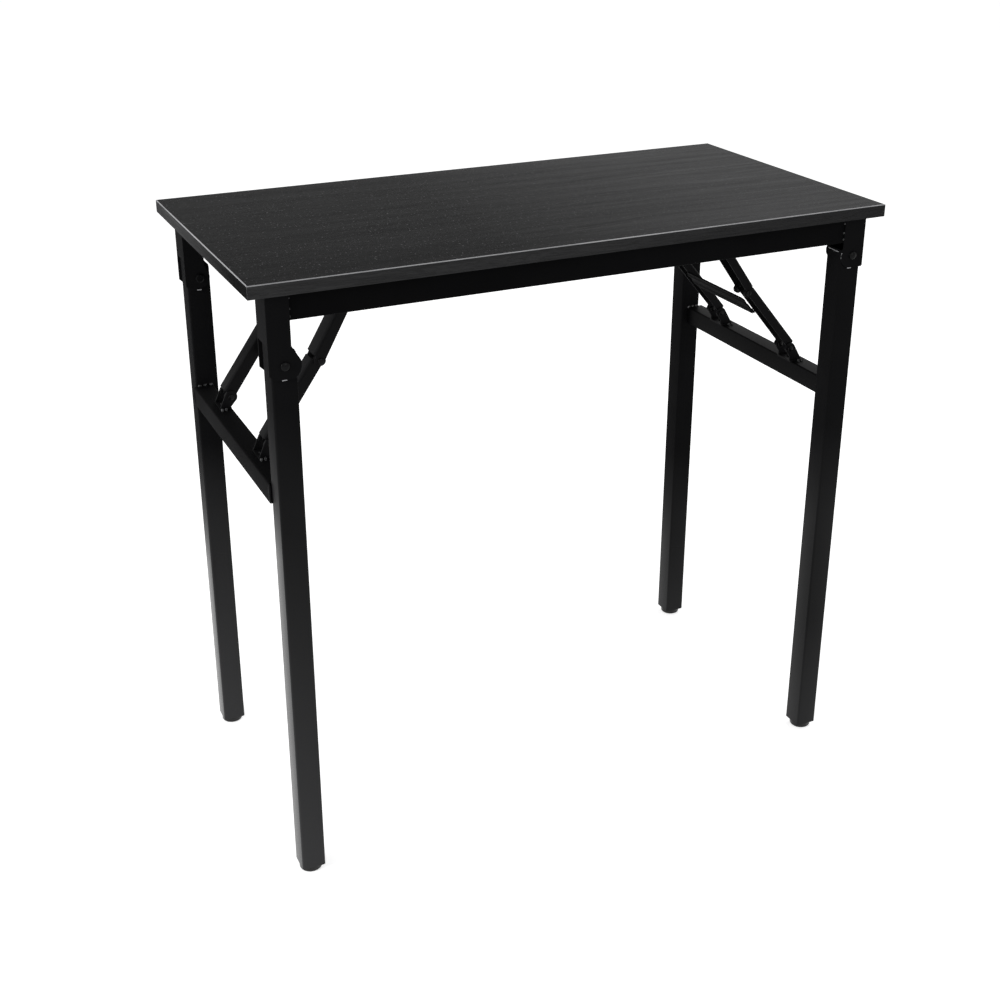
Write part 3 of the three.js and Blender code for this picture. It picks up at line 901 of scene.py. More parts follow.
@dataclass
class Worktop:
    """The board with its four edge bands."""

    shop: Workshop
    half_length: float = 400.0
    half_depth: float = 200.0
    top: float = 750.0
    bottom: float = 735.0
    band: float = 1.0
    arris: float = 0.9

    def build(self) -> None:
        """Dresses the board and makes the bands at its four edges."""
        self.shop.dress("top_board", "laminate")
        for name, sense in SIDES:
            reach = np.array([-self.half_length, self.half_length])
            rings = self.band_rings(self.half_depth * sense.value, sense.value)
            shells = [self.carry(ring, reach, False) for ring in rings]
            self.finish(name, shells, "band")
        for plan in ENDS:
            reach = np.array([-1.0, 1.0]) * (self.half_depth - self.band)
            rings = self.band_rings(self.half_length * plan.side, plan.side)
            self.finish(plan.name, [self.carry(ring, reach, True) for ring in rings], "shaded_end_band")

    def finish(self, name: str, shells: list[Shell], key: str) -> None:
        """Makes one band of its face and its light arris, which is a painted highlight."""
        shells = [shell.marked(mark) for mark, shell in enumerate(shells)]
        self.shop.piece(f"band_{name}", "top_frame", (key, "arris"), shells, f"edge_band_{name}")

    def band_rings(self, edge: float, sign: int) -> tuple[np.ndarray, np.ndarray]:
        """The sections of a band and of its arris.

        The face runs from the band's foot to where the arris starts. The arris is a quarter circle at the top
        outer edge, closed by the two flats behind it.

        Args:
            edge: Where the band's outer face lies.
            sign: Which way it faces.

        Returns:
            The closed outlines of the face and of the arris.
        """
        inner = edge - sign * self.band
        start = self.top - self.arris
        face = np.array([[inner, self.bottom], [edge, self.bottom], [edge, start], [inner, start]])
        curve = arc((0, 0), self.arris, 0, 90, 5)
        curve = np.stack([edge - sign * self.arris + sign * curve[:, 0], start + curve[:, 1]], -1)
        rounding = np.concatenate([curve, [[inner, self.top], [inner, start]]])
        return face, rounding

    @staticmethod
    def carry(ring: np.ndarray, reach: np.ndarray, across: bool) -> Shell:
        """Carries a section of two axes along the third, in even steps.

        Args:
            ring: The closed section.
            reach: Where it starts and ends.
            across: Whether it runs along the depth, with a section of x and z.

        Returns:
            The closed shell.
        """
        steps = np.linspace(*reach, 9)
        if across:
            return loft(np.stack([across_depth(ring, step) for step in steps]))
        return loft(np.stack([np.insert(ring, 0, step, 1) for step in steps]))


@dataclass
class TopFrame:
    """The rails, the leg brackets with their bolts, and the brace brackets under the board."""

    shop: Workshop
    rail: Tube = Tube(30.0, 1.5, 2.0)
    cross: Tube = Tube(25.0, 1.5, 2.0)
    bottom: float = 735.0
    sheet: float = 2.0
    plate_bevel: float = 0.35
    lip_bevel: float = 0.1
    drop: float = 15.5
    washer_gap: float = 2.3
    outer_face: float = RAIL_OUTER + GAP + 2.0
    bolt_radius: float = 3.0
    head_radius: float = 5.0
    head_height: float = 2.9
    nut_radius: float = 5.5
    nut_height: float = 4.0
    collar_radius: float = 9.0
    screw_places: tuple[float, ...] = (-250.0, 0.0, 250.0)
    screw_radius: float = 4.6
    screw_height: float = 0.9
    seam_heights: tuple[float, ...] = (710.0, 718.0, 730.0)
    seam_radius: float = 1.2
    seam_half: float = 1.3
    seam_gap: float = 0.2
    inner_flare: float = 0.7
    highlight_radius: float = 0.7
    highlight_inset: float = 0.3
    highlight_half: float = 3.0
    highlight_rise: float = 4.6
    cheek_ear: float = 7.0
    link_middle: float = 83.0
    base_half: float = 14.0
    base_reach: float = 23.0

    def build(self) -> None:
        """Makes every piece that stays with the top."""
        self.build_rails()
        for plan in ENDS:
            for name, sense in SIDES:
                tag = f"{name}_{plan.name}"
                self.build_leg_bracket(plan, tag, sense)
                self.build_bolt(plan, tag, sense)
                self.build_brace_bracket(plan, tag, sense)

    def build_rails(self) -> None:
        """Makes the two long rails with their screws, and the cross rails between them."""
        ends = [plan.pivot[0] + plan.side * (plan.plate_outer - self.sheet - GAP) for plan in ENDS]
        height = self.bottom - self.rail.side / 2
        for name, sense in SIDES:
            middle = sense.value * (RAIL_INNER + RAIL_OUTER) / 2
            shells = [self.rail.along_length((middle, height), *ends)]
            self.shop.piece(f"long_rail_{name}", "top_frame", "satin", shells, f"rail_{name}")
            screws = [self.screw(x, middle, self.bottom - self.rail.side) for x in self.screw_places]
            self.shop.piece(f"rail_screws_{name}", "top_frame", "fastener", screws)
        for plan in ENDS:
            x = plan.upper_pin[0] - plan.side * (self.base_half + GAP + self.cross.side / 2)
            reach = RAIL_INNER - GAP
            shells = [self.cross.along_depth((x, self.bottom - self.cross.side / 2), -reach, reach)]
            self.shop.piece(f"tie_rail_{plan.name}", "top_frame", "satin", shells, f"cross_rail_{plan.name}")

    def screw(self, x: float, y: float, top: float) -> Shell:
        """A flat-headed screw below a surface, which leaves room for the folded leg.

        The head is the dome profile, turned to point down.

        Args:
            x: Where it is along the length.
            y: Where it is along the depth.
            top: The height of the surface.

        Returns:
            The screw's shell.
        """
        shell = turned((x, y), dome(0.0, 1.5, self.screw_radius, self.screw_height, 1), 20)
        shell.points = shell.points[:, [0, 2, 1]] * (1, 1, -1) + (0, 0, top)
        return shell.outward()

    def plate_outline(self, plan: EndPlan, inner: float, ear: float, flare: float) -> np.ndarray:
        """The side plate of a leg bracket: straight beside the rail, round about the pivot, flat below.

        Args:
            plan: The end that the bracket belongs to.
            inner: How far the plate reaches from the pivot towards the desk's middle, beside the rail.
            ear: The radius of its round part.
            flare: How far above the pivot it starts to widen.

        Returns:
            The closed outline of x and z.
        """
        ear_end = 180 + math.degrees(math.asin(min(self.drop / ear, 1.0)))
        rows = np.concatenate([
            [[plan.plate_outer, plan.pivot_drop], [-inner, plan.pivot_drop], [-inner, flare]],
            arc((0, 0), ear, 165, ear_end, 18),
            [[plan.plate_outer - plan.corner_cut, -self.drop], [plan.plate_outer, plan.corner_cut - self.drop]],
        ])
        return rows * (plan.side, 1) + plan.pivot

    def build_leg_bracket(self, plan: EndPlan, tag: str, sense: Sense) -> None:
        """Makes one leg bracket of two plates and a lip, with its weld beads on the rail.

        Args:
            plan: The end that it belongs to.
            tag: The names of the side and the end.
            sense: The side that it faces.
        """
        outline = self.plate_outline(plan, plan.plate_inner, plan.plate_ear, plan.flare_rise)
        flare = self.inner_flare * plan.flare_rise
        inside_outline = self.plate_outline(plan, plan.inner_plate, plan.inner_ear, flare)
        inner_face = RAIL_INNER - self.washer_gap - self.sheet
        end = plan.pivot[0] + plan.side * plan.plate_outer
        low, high = sorted((end, end - plan.side * self.sheet))
        foot = self.bottom - plan.lip
        lip = np.array([[low, foot], [high, foot], [high, self.bottom], [low, self.bottom]])
        near, far = inner_face + self.sheet, self.outer_face - self.sheet
        shells = [
            plate(outline, sense, far, self.outer_face, self.plate_bevel),
            plate(inside_outline, sense, inner_face, near, self.plate_bevel),
            plate(lip, sense, near, far, self.lip_bevel),
        ]
        # Thin light cords on the plates' foot and ear edges: painted highlights.
        shells += self.painted_edge_highlights(plan, sense)
        self.shop.piece(f"hinge_bracket_{tag}", "top_frame", ("strip", "arris"), shells, f"leg_bracket_{tag}")
        face = sense.value * (RAIL_OUTER + GAP)
        edge = plan.pivot[0] - plan.side * (plan.plate_inner + self.seam_gap)
        seams = []
        for height in self.seam_heights:
            path = np.array([[edge, face, height - self.seam_half], [edge, face, height + self.seam_half]])
            seams.append(weld_bead(path, self.seam_radius, int(height)))
        # The beads' grey is a painted highlight.
        self.shop.piece(f"bracket_weld_{tag}", "top_frame", "seam", seams)

    def painted_edge_highlights(self, plan: EndPlan, sense: Sense) -> list[Shell]:
        """Painted highlights along the edges of one leg bracket: the foot of both plates, and the ear of the outer
        one.

        Args:
            plan: The end that the bracket belongs to.
            sense: The side that it faces.

        Returns:
            Thin cords along the edges, marked with the second finish.
        """
        x, z = plan.pivot
        inset, half = self.highlight_inset, self.highlight_half
        foot = [(x + plan.highlight_mark + step, z - self.drop) for step in (-half, half)]
        edge = x - plan.side * (plan.plate_ear - inset)
        ear = [(edge + plan.side * 0.5, z + self.highlight_rise), (edge + plan.side * inset, z - half)]
        inner_face = RAIL_INNER - self.washer_gap - self.sheet
        paths = [
            (self.outer_face - inset, *foot, 31), (inner_face + inset, *foot, 31), (self.outer_face - 1.0, *ear, 32),
        ]
        shells = []
        for face, first, last, seed in paths:
            depth = sense.value * face
            path = np.array([[first[0], depth, first[1]], [last[0], depth, last[1]]])
            shells.append(weld_bead(path, self.highlight_radius, seed).marked(1))
        return shells

    def build_bolt(self, plan: EndPlan, tag: str, sense: Sense) -> None:
        """Makes one pivot bolt: a domed head outside, a collar beside the leg, and a nut inside.

        Args:
            plan: The end that it belongs to.
            tag: The names of the side and the end.
            sense: The side that its head faces.
        """
        inner_face = RAIL_INNER - self.washer_gap - self.sheet
        seat = self.outer_face + GAP
        collar = (inner_face + self.sheet + GAP, LEG_INNER - GAP)
        nut_face, crown = inner_face - GAP, inner_face - GAP - self.nut_height
        body = np.array([
            [crown, 0.8 * self.nut_radius], [crown + 0.4, 0.9 * self.nut_radius], [nut_face - 0.4, self.nut_radius],
            [nut_face, self.nut_radius], [nut_face, self.bolt_radius], [collar[0], self.bolt_radius],
            [collar[0], self.collar_radius], [collar[1], self.collar_radius],
            [collar[1], self.bolt_radius], [seat, self.bolt_radius],
        ])
        head = dome(seat, 0.0, self.head_radius, self.head_height, sense.value)[2:]
        rows = np.concatenate([body * (sense.value, 1), head])
        shells = [turned(plan.pivot, rows, 36)]
        self.shop.piece(f"hinge_bolt_{tag}", "top_frame", "fastener", shells, f"pivot_bolt_{tag}")

    def build_brace_bracket(self, plan: EndPlan, tag: str, sense: Sense) -> None:
        """Makes the bracket and the pin that carry an upper link.

        Args:
            plan: The end that it belongs to.
            tag: The names of the side and the end.
            sense: The side of the desk that it is on.
        """
        x, z = plan.upper_pin
        ear, top = self.cheek_ear, self.bottom - self.sheet
        start, stop = x - self.base_half, x + self.base_half
        base = np.array([[start, top], [stop, top], [stop, self.bottom], [start, self.bottom]])
        cheek = np.concatenate([[[x + ear + 2, top], [x - ear - 2, top]], arc((x, z), ear, 180, 360, 14)])
        inner, outer = LINK_INNER - GAP, LINK_OUTER + GAP
        shells = [
            plate(base, sense, self.link_middle - self.base_reach, self.link_middle + self.base_reach),
            plate(cheek, sense, inner - LINK_SHEET, inner),
            plate(cheek, sense, outer, outer + LINK_SHEET),
        ]
        self.shop.piece(f"top_cheek_{tag}", "top_frame", "sheet", shells, f"brace_bracket_upper_{tag}")
        pin = rivet_pair((x, z), sense, (inner - LINK_SHEET, LINK_INNER + LINK_SHEET),
                         (LINK_OUTER - LINK_SHEET, outer + LINK_SHEET))
        self.shop.piece(f"top_pin_{tag}", "top_frame", "fastener", pin, f"brace_pin_upper_{tag}")


def rivet_pair(centre: tuple[float, float], sense: Sense, *stacks: tuple[float, float]) -> list[Shell]:
    """Rivets on one line, each through its own stack of sheets and with a domed head at both ends.

    Args:
        centre: The x and z of their line.
        sense: The side of the desk that they are on.
        stacks: The depths of both faces of each stack, given on the rear side.

    Returns:
        One shell for each rivet.
    """
    shells = []
    for low, high in stacks:
        top = dome(high + GAP / 2, 0.0, RIVET_RADIUS, RIVET_HEIGHT, 1)[1:]
        bottom = dome(-low + GAP / 2, 0.0, RIVET_RADIUS, RIVET_HEIGHT, 1)[1:] * (-1, 1)
        shells.append(turned(centre, np.concatenate([bottom[::-1], top]) * (sense.value, 1), 24))
    return shells


@dataclass
class LegFrame:
    """Two legs, the crossbar between them, the foot plugs and the brackets on the crossbar."""

    shop: Workshop
    plan: EndPlan
    leg: Tube = Tube(LEG_SIDE, 1.5, 2.5)
    tie: Tube = Tube(25.0, 1.5, 2.0)
    foot_height: float = 8.0
    foot_width: float = 27.8
    foot_rounding: float = 3.2
    shank: float = 22.0
    base_sheet: float = 2.0
    base_reach: float = 15.0
    link_middle: float = 83.0
    ear: float = 8.0
    foot_outer: float = 3.0
    disc_corner: float = 0.49
    shank_corner: float = 1.25
    cut_inset: float = 0.7
    cut_ends: tuple[float, float] = (1.5, 6.0)
    cut_fall: float = 0.8
    cut_radius: float = 0.75
    bar_rivet: tuple[float, float] = (3.6, 2.2)
    lump_shares: tuple[float, ...] = (0.12, 0.5, 0.88)
    lump_half: float = 2.4
    lump_radius: float = 1.9
    bead_radius: float = 1.0
    end_radius: float = 2.0
    base_places: tuple[float, ...] = (-1.4, 3.4)
    base_radius: float = 2.3
    body: str = field(init=False)

    def __post_init__(self) -> None:
        """Names the body that everything here moves with."""
        self.body = self.plan.body("leg_frame")

    def build(self) -> None:
        """Makes the crossbar, and on each side the leg, the plug, the bracket and the welds."""
        plan = self.plan
        reach = LEG_INNER - GAP
        centre = (plan.tie_x, plan.tie_top - self.tie.side / 2)
        shells = [self.tie.along_depth(centre, -reach, reach)]
        self.shop.piece(f"crossbar_{plan.name}", self.body, plan.bar_finish, shells, f"leg_crossbar_{plan.name}")
        for name, sense in SIDES:
            tag = f"{name}_{plan.name}"
            # The cut edge at the leg's top is a light cord: a painted highlight.
            shells = [self.leg_shell(sense), self.cut_edge(sense)]
            self.shop.piece(f"leg_tube_{tag}", self.body, ("tube", "arris"), shells, f"leg_{tag}")
            self.shop.piece(f"foot_{tag}", self.body, "plastic", [self.foot_shell(sense)], f"foot_plug_{tag}")
            self.build_bracket(tag, sense)
            self.build_welds(tag, sense)

    def leg_shell(self, sense: Sense) -> Shell:
        """The leg tube, whose top is cut by a quarter circle towards the middle of the desk.

        Each point of the section rises from the foot in a straight line. Its top lies at the leg's top, or
        lower where the quarter circle about the inner corner passes below that: the centre's height plus the
        root of the squared radius less the squared distance from the centre.

        Args:
            sense: The side of the desk that the leg is on.

        Returns:
            The tube's shell.
        """
        plan = self.plan
        x, z = plan.pivot
        middle = (x, sense.value * LEG_MIDDLE)
        radius = plan.leg_top_radius
        centre = radius - self.leg.side / 2
        walls = []
        for ring in (self.leg.outer(middle), self.leg.inner(middle)):
            inward = plan.side * (ring[:, 0] - x)
            fall = np.sqrt(np.maximum(radius ** 2 - np.minimum(inward - centre, 0) ** 2, 0))
            top = z + plan.leg_above_pivot - radius + fall
            heights = np.linspace(0, 1, 12)[:, None] * (top - self.foot_height)[None, :] + self.foot_height
            flat = np.broadcast_to(ring[None], (12, *ring.shape))
            walls.append(np.concatenate([flat, heights[..., None]], -1))
        return pipe(*walls)

    def cut_edge(self, sense: Sense) -> Shell:
        """A painted highlight where the rounded cut at the leg's top meets the wall that faces the desk's middle.

        It lies on the quarter circle of the cut, a little inside that wall.

        Args:
            sense: The side of the desk that the leg is on.

        Returns:
            The edge's shell, marked with the second finish.
        """
        plan = self.plan
        x, z = plan.pivot
        half, radius = self.leg.side / 2, plan.leg_top_radius
        inward = half - self.cut_inset
        fall = math.sqrt(radius ** 2 - (inward - half + radius) ** 2)
        height = z + plan.leg_above_pivot - radius + fall
        place = x - plan.side * inward
        low, high = LEG_MIDDLE - half + self.cut_ends[0], LEG_MIDDLE + half - self.cut_ends[1]
        path = np.array([[place, sense.value * low, height], [place, sense.value * high, height - self.cut_fall]])
        return weld_bead(path, self.cut_radius, 41).marked(1)

    def foot_shell(self, sense: Sense) -> Shell:
        """The foot plug: a round disc under the leg, with a square shank that fits the leg's bore.

        The disc is a square whose corners are rounded by nearly half its width. Its lower edge is a quarter
        circle: the radius there is the disc's radius less the rounding plus the root of the squared rounding
        less the squared height below the rounding's top.

        Args:
            sense: The side of the desk that the plug is on.

        Returns:
            The plug's shell.
        """
        x = self.plan.pivot[0]
        y = sense.value * LEG_MIDDLE
        clear = self.leg.side - 2 * self.leg.wall - 2 * GAP
        cap, rounding = self.foot_height - GAP, self.foot_rounding
        rise = np.append(np.linspace(0, rounding, 9), cap)
        below = np.maximum(rounding - rise, 0)
        width = self.foot_width - 2 * rounding + 2 * np.sqrt(rounding ** 2 - below ** 2)
        heights = np.concatenate([rise, [cap, self.foot_height + self.shank]])
        widths = np.concatenate([width, [clear, clear]])
        radii = np.append(self.disc_corner * width, [self.shank_corner] * 2)
        rings = []
        for height, size, radius in zip(heights, widths, radii):
            ring = rounded_box((x, y), size, size, radius)
            rings.append(np.column_stack([ring, np.full(len(ring), height)]))
        return loft(np.stack(rings))

    def build_bracket(self, tag: str, sense: Sense) -> None:
        """Makes the crossbar's bracket with its rivet and the lower brace pin.

        Args:
            tag: The names of the side and the end.
            sense: The side of the desk that it is on.
        """
        plan = self.plan
        top = plan.tie_top
        foot_outer = plan.tie_x + plan.side * self.foot_outer
        foot_inner = plan.tie_x - plan.side * plan.foot_inward
        foot = top + self.base_sheet
        base = np.array([[foot_outer, top], [foot_inner, top], [foot_inner, foot], [foot_outer, foot]])
        ear = arc((0, 0), self.ear, 150, plan.foot_angle, 16) * (-plan.side, 1) + plan.lower_pin
        cheek = np.concatenate([
            [[foot_outer, foot]],
            ear,
            [[foot_inner, top + max(plan.foot_rise, self.base_sheet + 0.5)], [foot_inner, foot]],
        ])
        shells = [
            plate(base, sense, self.link_middle - self.base_reach, self.link_middle + self.base_reach),
            plate(cheek, sense, LINK_INNER, LINK_INNER + LINK_SHEET),
            plate(cheek, sense, LINK_OUTER - LINK_SHEET, LINK_OUTER),
        ]
        self.shop.piece(f"bar_cheek_{tag}", self.body, "sheet", shells, f"brace_bracket_lower_{tag}")
        pin = rivet_pair(plan.lower_pin, sense, (LINK_INNER, LINK_INNER + NEST + LINK_SHEET),
                         (LINK_OUTER - NEST - LINK_SHEET, LINK_OUTER))
        self.shop.piece(f"bar_pin_{tag}", self.body, "fastener", pin, f"brace_pin_lower_{tag}")
        place = ((foot_outer + foot_inner) / 2, sense.value * self.link_middle)
        rivet = turned(place, dome(0.0, 1.0, *self.bar_rivet, 1), 20)
        rivet.points = rivet.points[:, [0, 2, 1]] + (0, 0, foot)
        self.shop.piece(f"bar_rivet_{tag}", self.body, "fastener", [rivet.outward()])

    def build_welds(self, tag: str, sense: Sense) -> None:
        """Lays weld metal where the crossbar meets the leg and at both edges of the bracket's foot.

        Three short lumps lie on top of the joint and a thin bead below it. On a closed end another bead covers
        the part of the crossbar's end that stands out past the leg. The bracket has two lumps at its front edge
        and one at its rear edge.

        Args:
            tag: The names of the side and the end.
            sense: The side of the desk that the leg is on.
        """
        plan = self.plan
        face = sense.value * LEG_INNER
        inner = plan.tie_x - plan.side * self.tie.side / 2
        leg_edge = plan.pivot[0] + plan.side * (self.leg.side / 2 - 2)
        top, bottom = plan.tie_top, plan.tie_top - self.tie.side
        outer = plan.tie_x + plan.side * (self.tie.side / 2 - 1.3)
        lumps = [inner + share * (leg_edge - inner) for share in self.lump_shares]
        seams = [((x - self.lump_half, top), (x + self.lump_half, top), self.lump_radius) for x in lumps]
        seams.append(((inner, bottom), (leg_edge, bottom), self.bead_radius))
        if plan.closed_end:
            seams.append(((outer, top - 1), (outer, bottom + 1), self.end_radius))
        beads = []
        for seed, ((x0, z0), (x1, z1), radius) in enumerate(seams):
            bead = weld_bead(np.array([[x0, face, z0], [x1, face, z1]]), radius, 20 + seed)
            beads.append(bead.marked(int(seed >= len(lumps))))
        front, back = self.link_middle + sense.value * np.array([-1, 1]) * (self.base_reach + 1.6)
        places = [(out, front) for out in self.base_places] + [(self.base_places[-1], back)]
        for seed, (out, depth) in enumerate(places):
            x, y = plan.tie_x - plan.side * out, sense.value * depth
            path = np.array([[x - 1.5, y, top + 0.5], [x + 1.5, y, top + 0.5]])
            beads.append(weld_bead(path, self.base_radius, 50 + seed))
        # The lumps take the grey weld finish, a painted highlight; the thin beads take the leg's coat.
        self.shop.piece(f"tie_weld_{tag}", self.body, ("seam", "tube"), beads)


@dataclass
class BracePair:
    """The two folding braces of one end and the release bar between their lower links."""

    shop: Workshop
    plan: EndPlan
    edge: float = -1.0
    back: float = 11.0
    ear: float = 6.0
    web_end: float = 3.0
    bend: float = 3.2
    bar_start: float = 20.0
    bar_width: float = 30.0
    bar_sheet: float = 2.0
    bar_corner: float = 5.0
    bead_height: float = 1.3
    bead_places: tuple[float, ...] = (0.25, 0.75)
    bead_half: float = 0.15
    lug: float = 7.0

    def build(self) -> None:
        """Makes the links, the knee rivets and the release bar."""
        plan = self.plan
        for name, sense in SIDES:
            tag = f"{name}_{plan.name}"
            upper = self.link_shells(self.axes(plan.upper_pin, 1), sense, 0.0, plan.link_edges[1::-1])
            self.shop.piece(f"upper_link_{tag}", plan.body("upper_links"), "sheet", upper, f"brace_upper_{tag}")
            lower = self.link_shells(self.axes(plan.lower_pin, -1), sense, NEST, plan.link_edges[1:])
            self.shop.piece(f"lower_link_{tag}", plan.body("lower_links"), "sheet", lower, f"brace_lower_{tag}")
            rivet = rivet_pair(plan.knee, sense, (LINK_INNER, LINK_INNER + NEST + LINK_SHEET),
                               (LINK_OUTER - NEST - LINK_SHEET, LINK_OUTER))
            self.shop.piece(f"knee_pin_{tag}", plan.body("upper_links"), "fastener", rivet, f"knee_rivet_{tag}")
        self.build_bar()

    def axes(self, far: tuple[float, float], turn: int) -> tuple[np.ndarray, np.ndarray]:
        """The directions along a link from the knee, and from its open edge towards its web.

        Args:
            far: The pin at the link's other end.
            turn: 1 for the upper link and -1 for the lower link.

        Returns:
            Two unit vectors in x and z.
        """
        along = (np.array(far) - self.plan.knee) / self.plan.link_length
        out = turn * self.plan.side * np.array([along[1], -along[0]])
        return along, out

    def place(self, rows: np.ndarray, axes: tuple[np.ndarray, np.ndarray]) -> np.ndarray:
        """Puts points given along and out of a link into x and z."""
        return self.plan.knee + rows[:, :1] * axes[0] + rows[:, 1:] * axes[1]

    def link_shells(self, axes: tuple[np.ndarray, np.ndarray], sense: Sense, nest: float,
                    edges: tuple[float, float]) -> list[Shell]:
        """One channel link: two flanges with round ears, and a web with rounded bends between them.

        The flange's outline follows half circles about both pins below the open edge. The web's section is a
        quarter circle at each bend with a flat between, and the same drawn in by the sheet's thickness.

        Args:
            axes: The link's two directions.
            sense: The side of the desk that it is on.
            nest: How far the link is drawn in to nest in the other one.
            edges: Where the open edge lies at the knee and at the far pin.

        Returns:
            The shells of the link.
        """
        length = self.plan.link_length
        shoulder, half = self.back - self.bend, self.back / 2
        lean = self.ear - (shoulder - half) / half * (self.ear + self.web_end)
        meets = [math.degrees(math.asin(-edge / self.ear)) for edge in edges]
        outline = np.concatenate([
            arc((0, 0), self.ear, 180, 360 - meets[0], 14),
            arc((length, 0), self.ear, 180 + meets[1], 360, 14),
            [[length + self.ear, half], [length + lean, shoulder], [-lean, shoulder], [-self.ear, half]],
        ])
        low, high = LINK_INNER + nest, LINK_OUTER - nest
        flange = self.place(outline, axes)
        shells = [
            plate(flange, sense, low, low + LINK_SHEET),
            plate(flange, sense, high - LINK_SHEET, high),
        ]
        outside = np.concatenate([
            arc((low + self.bend, shoulder), self.bend, 180, 90, 6),
            arc((high - self.bend, shoulder), self.bend, 90, 0, 6),
        ])
        tight = self.bend - LINK_SHEET
        inside = np.concatenate([
            arc((high - self.bend, shoulder), tight, 0, 90, 6),
            arc((low + self.bend, shoulder), tight, 90, 180, 6),
        ])
        section = np.concatenate([outside, inside])
        rings = []
        for along in np.linspace(self.web_end, length - self.web_end, 7):
            rows = np.column_stack([np.full(len(section), along), section[:, 1]])
            flat = self.place(rows, axes)
            rings.append(np.stack([flat[:, 0], sense.value * section[:, 0], flat[:, 1]], -1))
        shells.append(loft(np.stack(rings)))
        return shells

    def build_bar(self) -> None:
        """Makes the release bar: a strip with two beads whose ends are rounded.

        The section goes along the link and rises in two raised cosine beads. At each point of the section the
        half width is the bar's reach less the corner radius plus the root of the squared radius less the
        squared distance into the corner.
        """
        plan = self.plan
        axes = self.axes(plan.lower_pin, -1)
        share = np.linspace(0, 1, 49)
        along = self.bar_start + self.bar_width * share
        bead = np.zeros_like(share)
        for middle in self.bead_places:
            near = np.clip(np.abs(share - middle) / self.bead_half, 0, 1)
            bead += self.bead_height * (0.5 + 0.5 * np.cos(np.pi * near))
        seat = self.edge - GAP
        near_face = np.stack([along, seat - 0.5 * bead], -1)
        far_face = np.stack([along, seat - self.bar_sheet - bead], -1)
        section = np.concatenate([near_face, far_face[::-1]])
        radius, half = self.bar_corner, self.bar_width / 2
        into = np.maximum(np.abs(section[:, 0] - self.bar_start - half) - half + radius, 0)
        reach = LINK_INNER - GAP - radius + np.sqrt(np.maximum(radius ** 2 - into ** 2, 0))
        flat = self.place(section, axes)
        rings = [np.stack([flat[:, 0], depth * reach, flat[:, 1]], -1) for depth in np.linspace(-1, 1, 15)]
        shells = [loft(np.stack(rings))]
        end = self.bar_start + self.bar_width
        low, high = seat - self.bar_sheet, end - 4
        tab = np.array([[high - self.lug, seat], [high, seat], [high, low], [high - self.lug, low]])
        for _, sense in SIDES:
            reach_in = (LINK_INNER - 12, LINK_INNER + NEST + LINK_SHEET - 0.2)
            shells.append(plate(self.place(tab, axes), sense, *reach_in))
        body = plan.body("lower_links")
        self.shop.piece(f"release_bar_{plan.name}", body, "strip", shells, f"connecting_bar_{plan.name}")


# Light, floor and camera


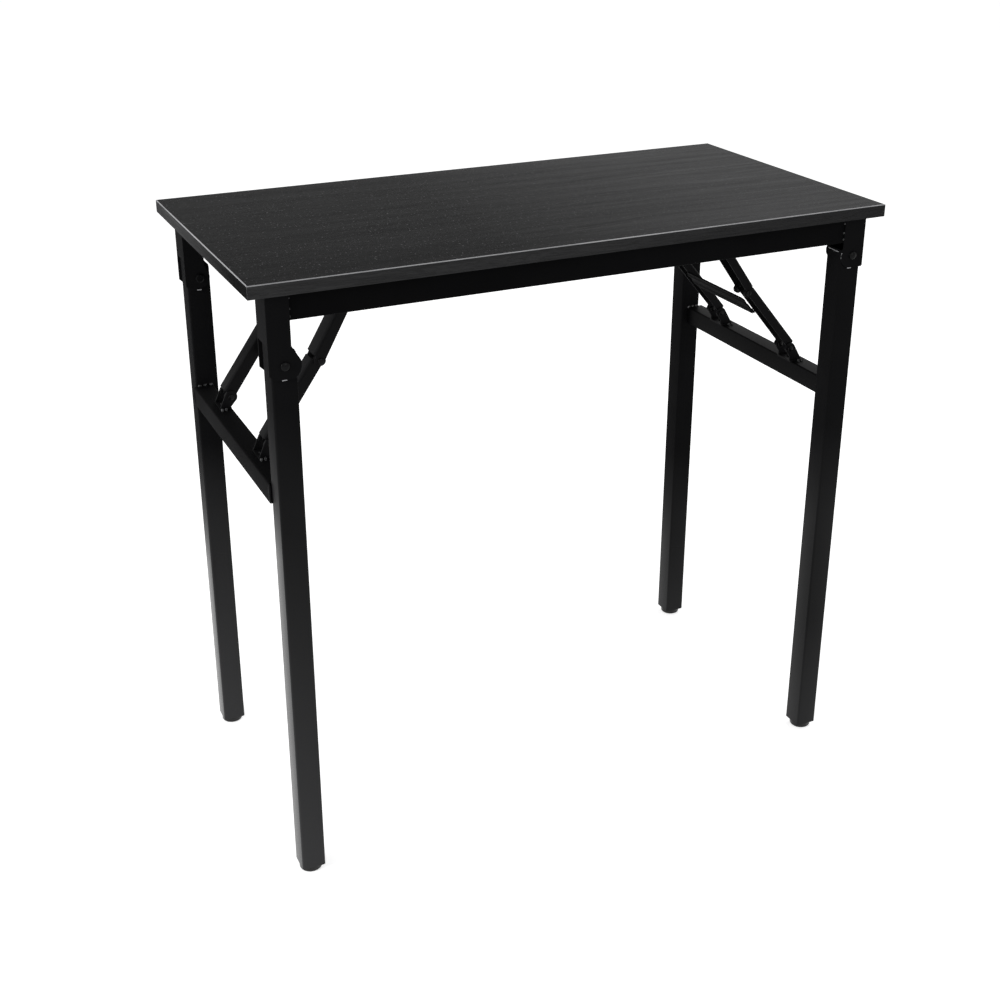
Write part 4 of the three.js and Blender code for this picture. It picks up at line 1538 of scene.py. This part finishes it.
@dataclass(frozen=True)
class Studio:
    """A pale floor, a soft key light from the left, a weaker fill, and the camera."""

    focal_pixels: float = 1468.64
    picture: float = 1000.0
    centre_row: float = 436.0
    sensor: float = 36.0
    floor_half: float = 12.0
    floor_grey: float = 0.93
    floor_rough: float = 0.9
    floor_specular: float = 0.1
    floor_glow: float = 0.62
    world_strength: float = 0.42
    eye: tuple[float, float, float] = (-0.77069, -1.59253, 1.18622)
    backward: tuple[float, float, float] = (-0.39064, -0.83421, 0.38923)

    def build(self) -> None:
        """Sets the colour handling and builds the floor, the lights, the world and the camera."""
        bpy.context.scene.view_settings.view_transform = "Standard"
        self.build_floor()
        self.build_world()
        self.add_light("key_left", (-2.6, -0.5, 1.3), (0.0, 0.0, 0.45), (0.8, 1.1), 36.0)
        self.add_light("fill_front", (0.6, -3.0, 1.6), (0.0, 0.0, 0.5), (2.0, 1.6), 14.0)
        self.add_light("top_back", (1.9, 1.2, 2.6), (0.2, 0.0, 0.7), (2.2, 1.4), 26.0)
        self.build_camera()

    def build_floor(self) -> None:
        """Makes a wide floor that is white to the camera apart from the desk's soft shadow."""
        mesh = bpy.data.meshes.new("studio_floor")
        half = self.floor_half
        mesh.from_pydata([(-half, -half, 0), (half, -half, 0), (half, half, 0), (-half, half, 0)], [], [(0, 1, 2, 3)])
        floor = bpy.data.objects.new("studio_floor", mesh)
        bpy.context.scene.collection.objects.link(floor)
        material = bpy.data.materials.new("pale_floor")
        material.use_nodes = True
        tree = material.node_tree
        shader = tree.nodes["Principled BSDF"]
        shader.inputs["Base Color"].default_value = (*[self.floor_grey] * 3, 1.0)
        shader.inputs["Roughness"].default_value = self.floor_rough
        shader.inputs["Specular IOR Level"].default_value = self.floor_specular
        glow = tree.nodes.new("ShaderNodeEmission")
        tree.links.new(math_node(tree, "MULTIPLY", self.seen(tree), self.floor_glow), glow.inputs["Strength"])
        total = tree.nodes.new("ShaderNodeAddShader")
        tree.links.new(shader.outputs[0], total.inputs[0])
        tree.links.new(glow.outputs[0], total.inputs[1])
        tree.links.new(total.outputs[0], tree.nodes["Material Output"].inputs["Surface"])
        mesh.materials.append(material)

    def build_world(self) -> None:
        """Makes an even pale world that is white to the camera and in reflections."""
        world = bpy.data.worlds.new("studio_world")
        bpy.context.scene.world = world
        world.use_nodes = True
        tree = world.node_tree
        back = tree.nodes["Background"]
        back.inputs["Color"].default_value = (1.0, 1.0, 1.0, 1.0)
        strength = ramp_node(tree, self.seen(tree), 0.0, 1.0, (self.world_strength, 1.0))
        tree.links.new(strength, back.inputs["Strength"])

    @staticmethod
    def seen(tree: bpy.types.NodeTree) -> bpy.types.NodeSocket:
        """Gives 1 for rays from the camera, in reflections and through clear surfaces, and 0 for others."""
        path = tree.nodes.new("ShaderNodeLightPath").outputs
        seen = math_node(tree, "MAXIMUM", path["Is Camera Ray"], path["Is Glossy Ray"])
        return math_node(tree, "MAXIMUM", seen, path["Is Transmission Ray"])

    @staticmethod
    def add_light(name: str, place: tuple[float, float, float], target: tuple[float, float, float],
                  size: tuple[float, float], power: float) -> None:
        """Adds a soft rectangular lamp that looks at a target.

        Args:
            name: The lamp's name.
            place: Where it stands.
            target: What it looks at.
            size: Its width and height.
            power: Its power in watts.
        """
        lamp = bpy.data.lights.new(name, "AREA")
        lamp.shape = "RECTANGLE"
        lamp.size, lamp.size_y = size
        lamp.energy = power
        thing = bpy.data.objects.new(name, lamp)
        bpy.context.scene.collection.objects.link(thing)
        thing.location = place
        thing.rotation_euler = (Vector(target) - Vector(place)).to_track_quat("-Z", "Y").to_euler()

    def build_camera(self) -> None:
        """Places the camera at the photograph's point of view."""
        data = bpy.data.cameras.new("photo_camera")
        data.sensor_fit = "HORIZONTAL"
        data.sensor_width = self.sensor
        data.lens = self.focal_pixels / self.picture * self.sensor
        data.shift_y = (self.centre_row - self.picture / 2) / self.picture
        data.clip_end = 60.0
        camera = bpy.data.objects.new("photo_camera", data)
        bpy.context.scene.collection.objects.link(camera)
        back = Vector(self.backward).normalized()
        right = Vector((0, 0, 1)).cross(back).normalized()
        up = back.cross(right)
        axes = Matrix((right, up, back)).transposed().to_4x4()
        camera.matrix_world = Matrix.Translation(Vector(self.eye)) @ axes
        bpy.context.scene.camera = camera


def corners(box: object) -> list[list[float]]:
    """Turns the two corners of a box into plain lists of numbers."""
    return [[float(value) for value in corner] for corner in box]


def main() -> None:
    """Builds the desk's pieces in order, then the studio."""
    logging.basicConfig(level=logging.INFO, format="%(message)s")
    shop = Workshop()
    Worktop(shop).build()
    TopFrame(shop).build()
    for plan in ENDS:
        LegFrame(shop, plan).build()
        BracePair(shop, plan).build()
    Studio().build()


if __name__ == "__main__":
    main()
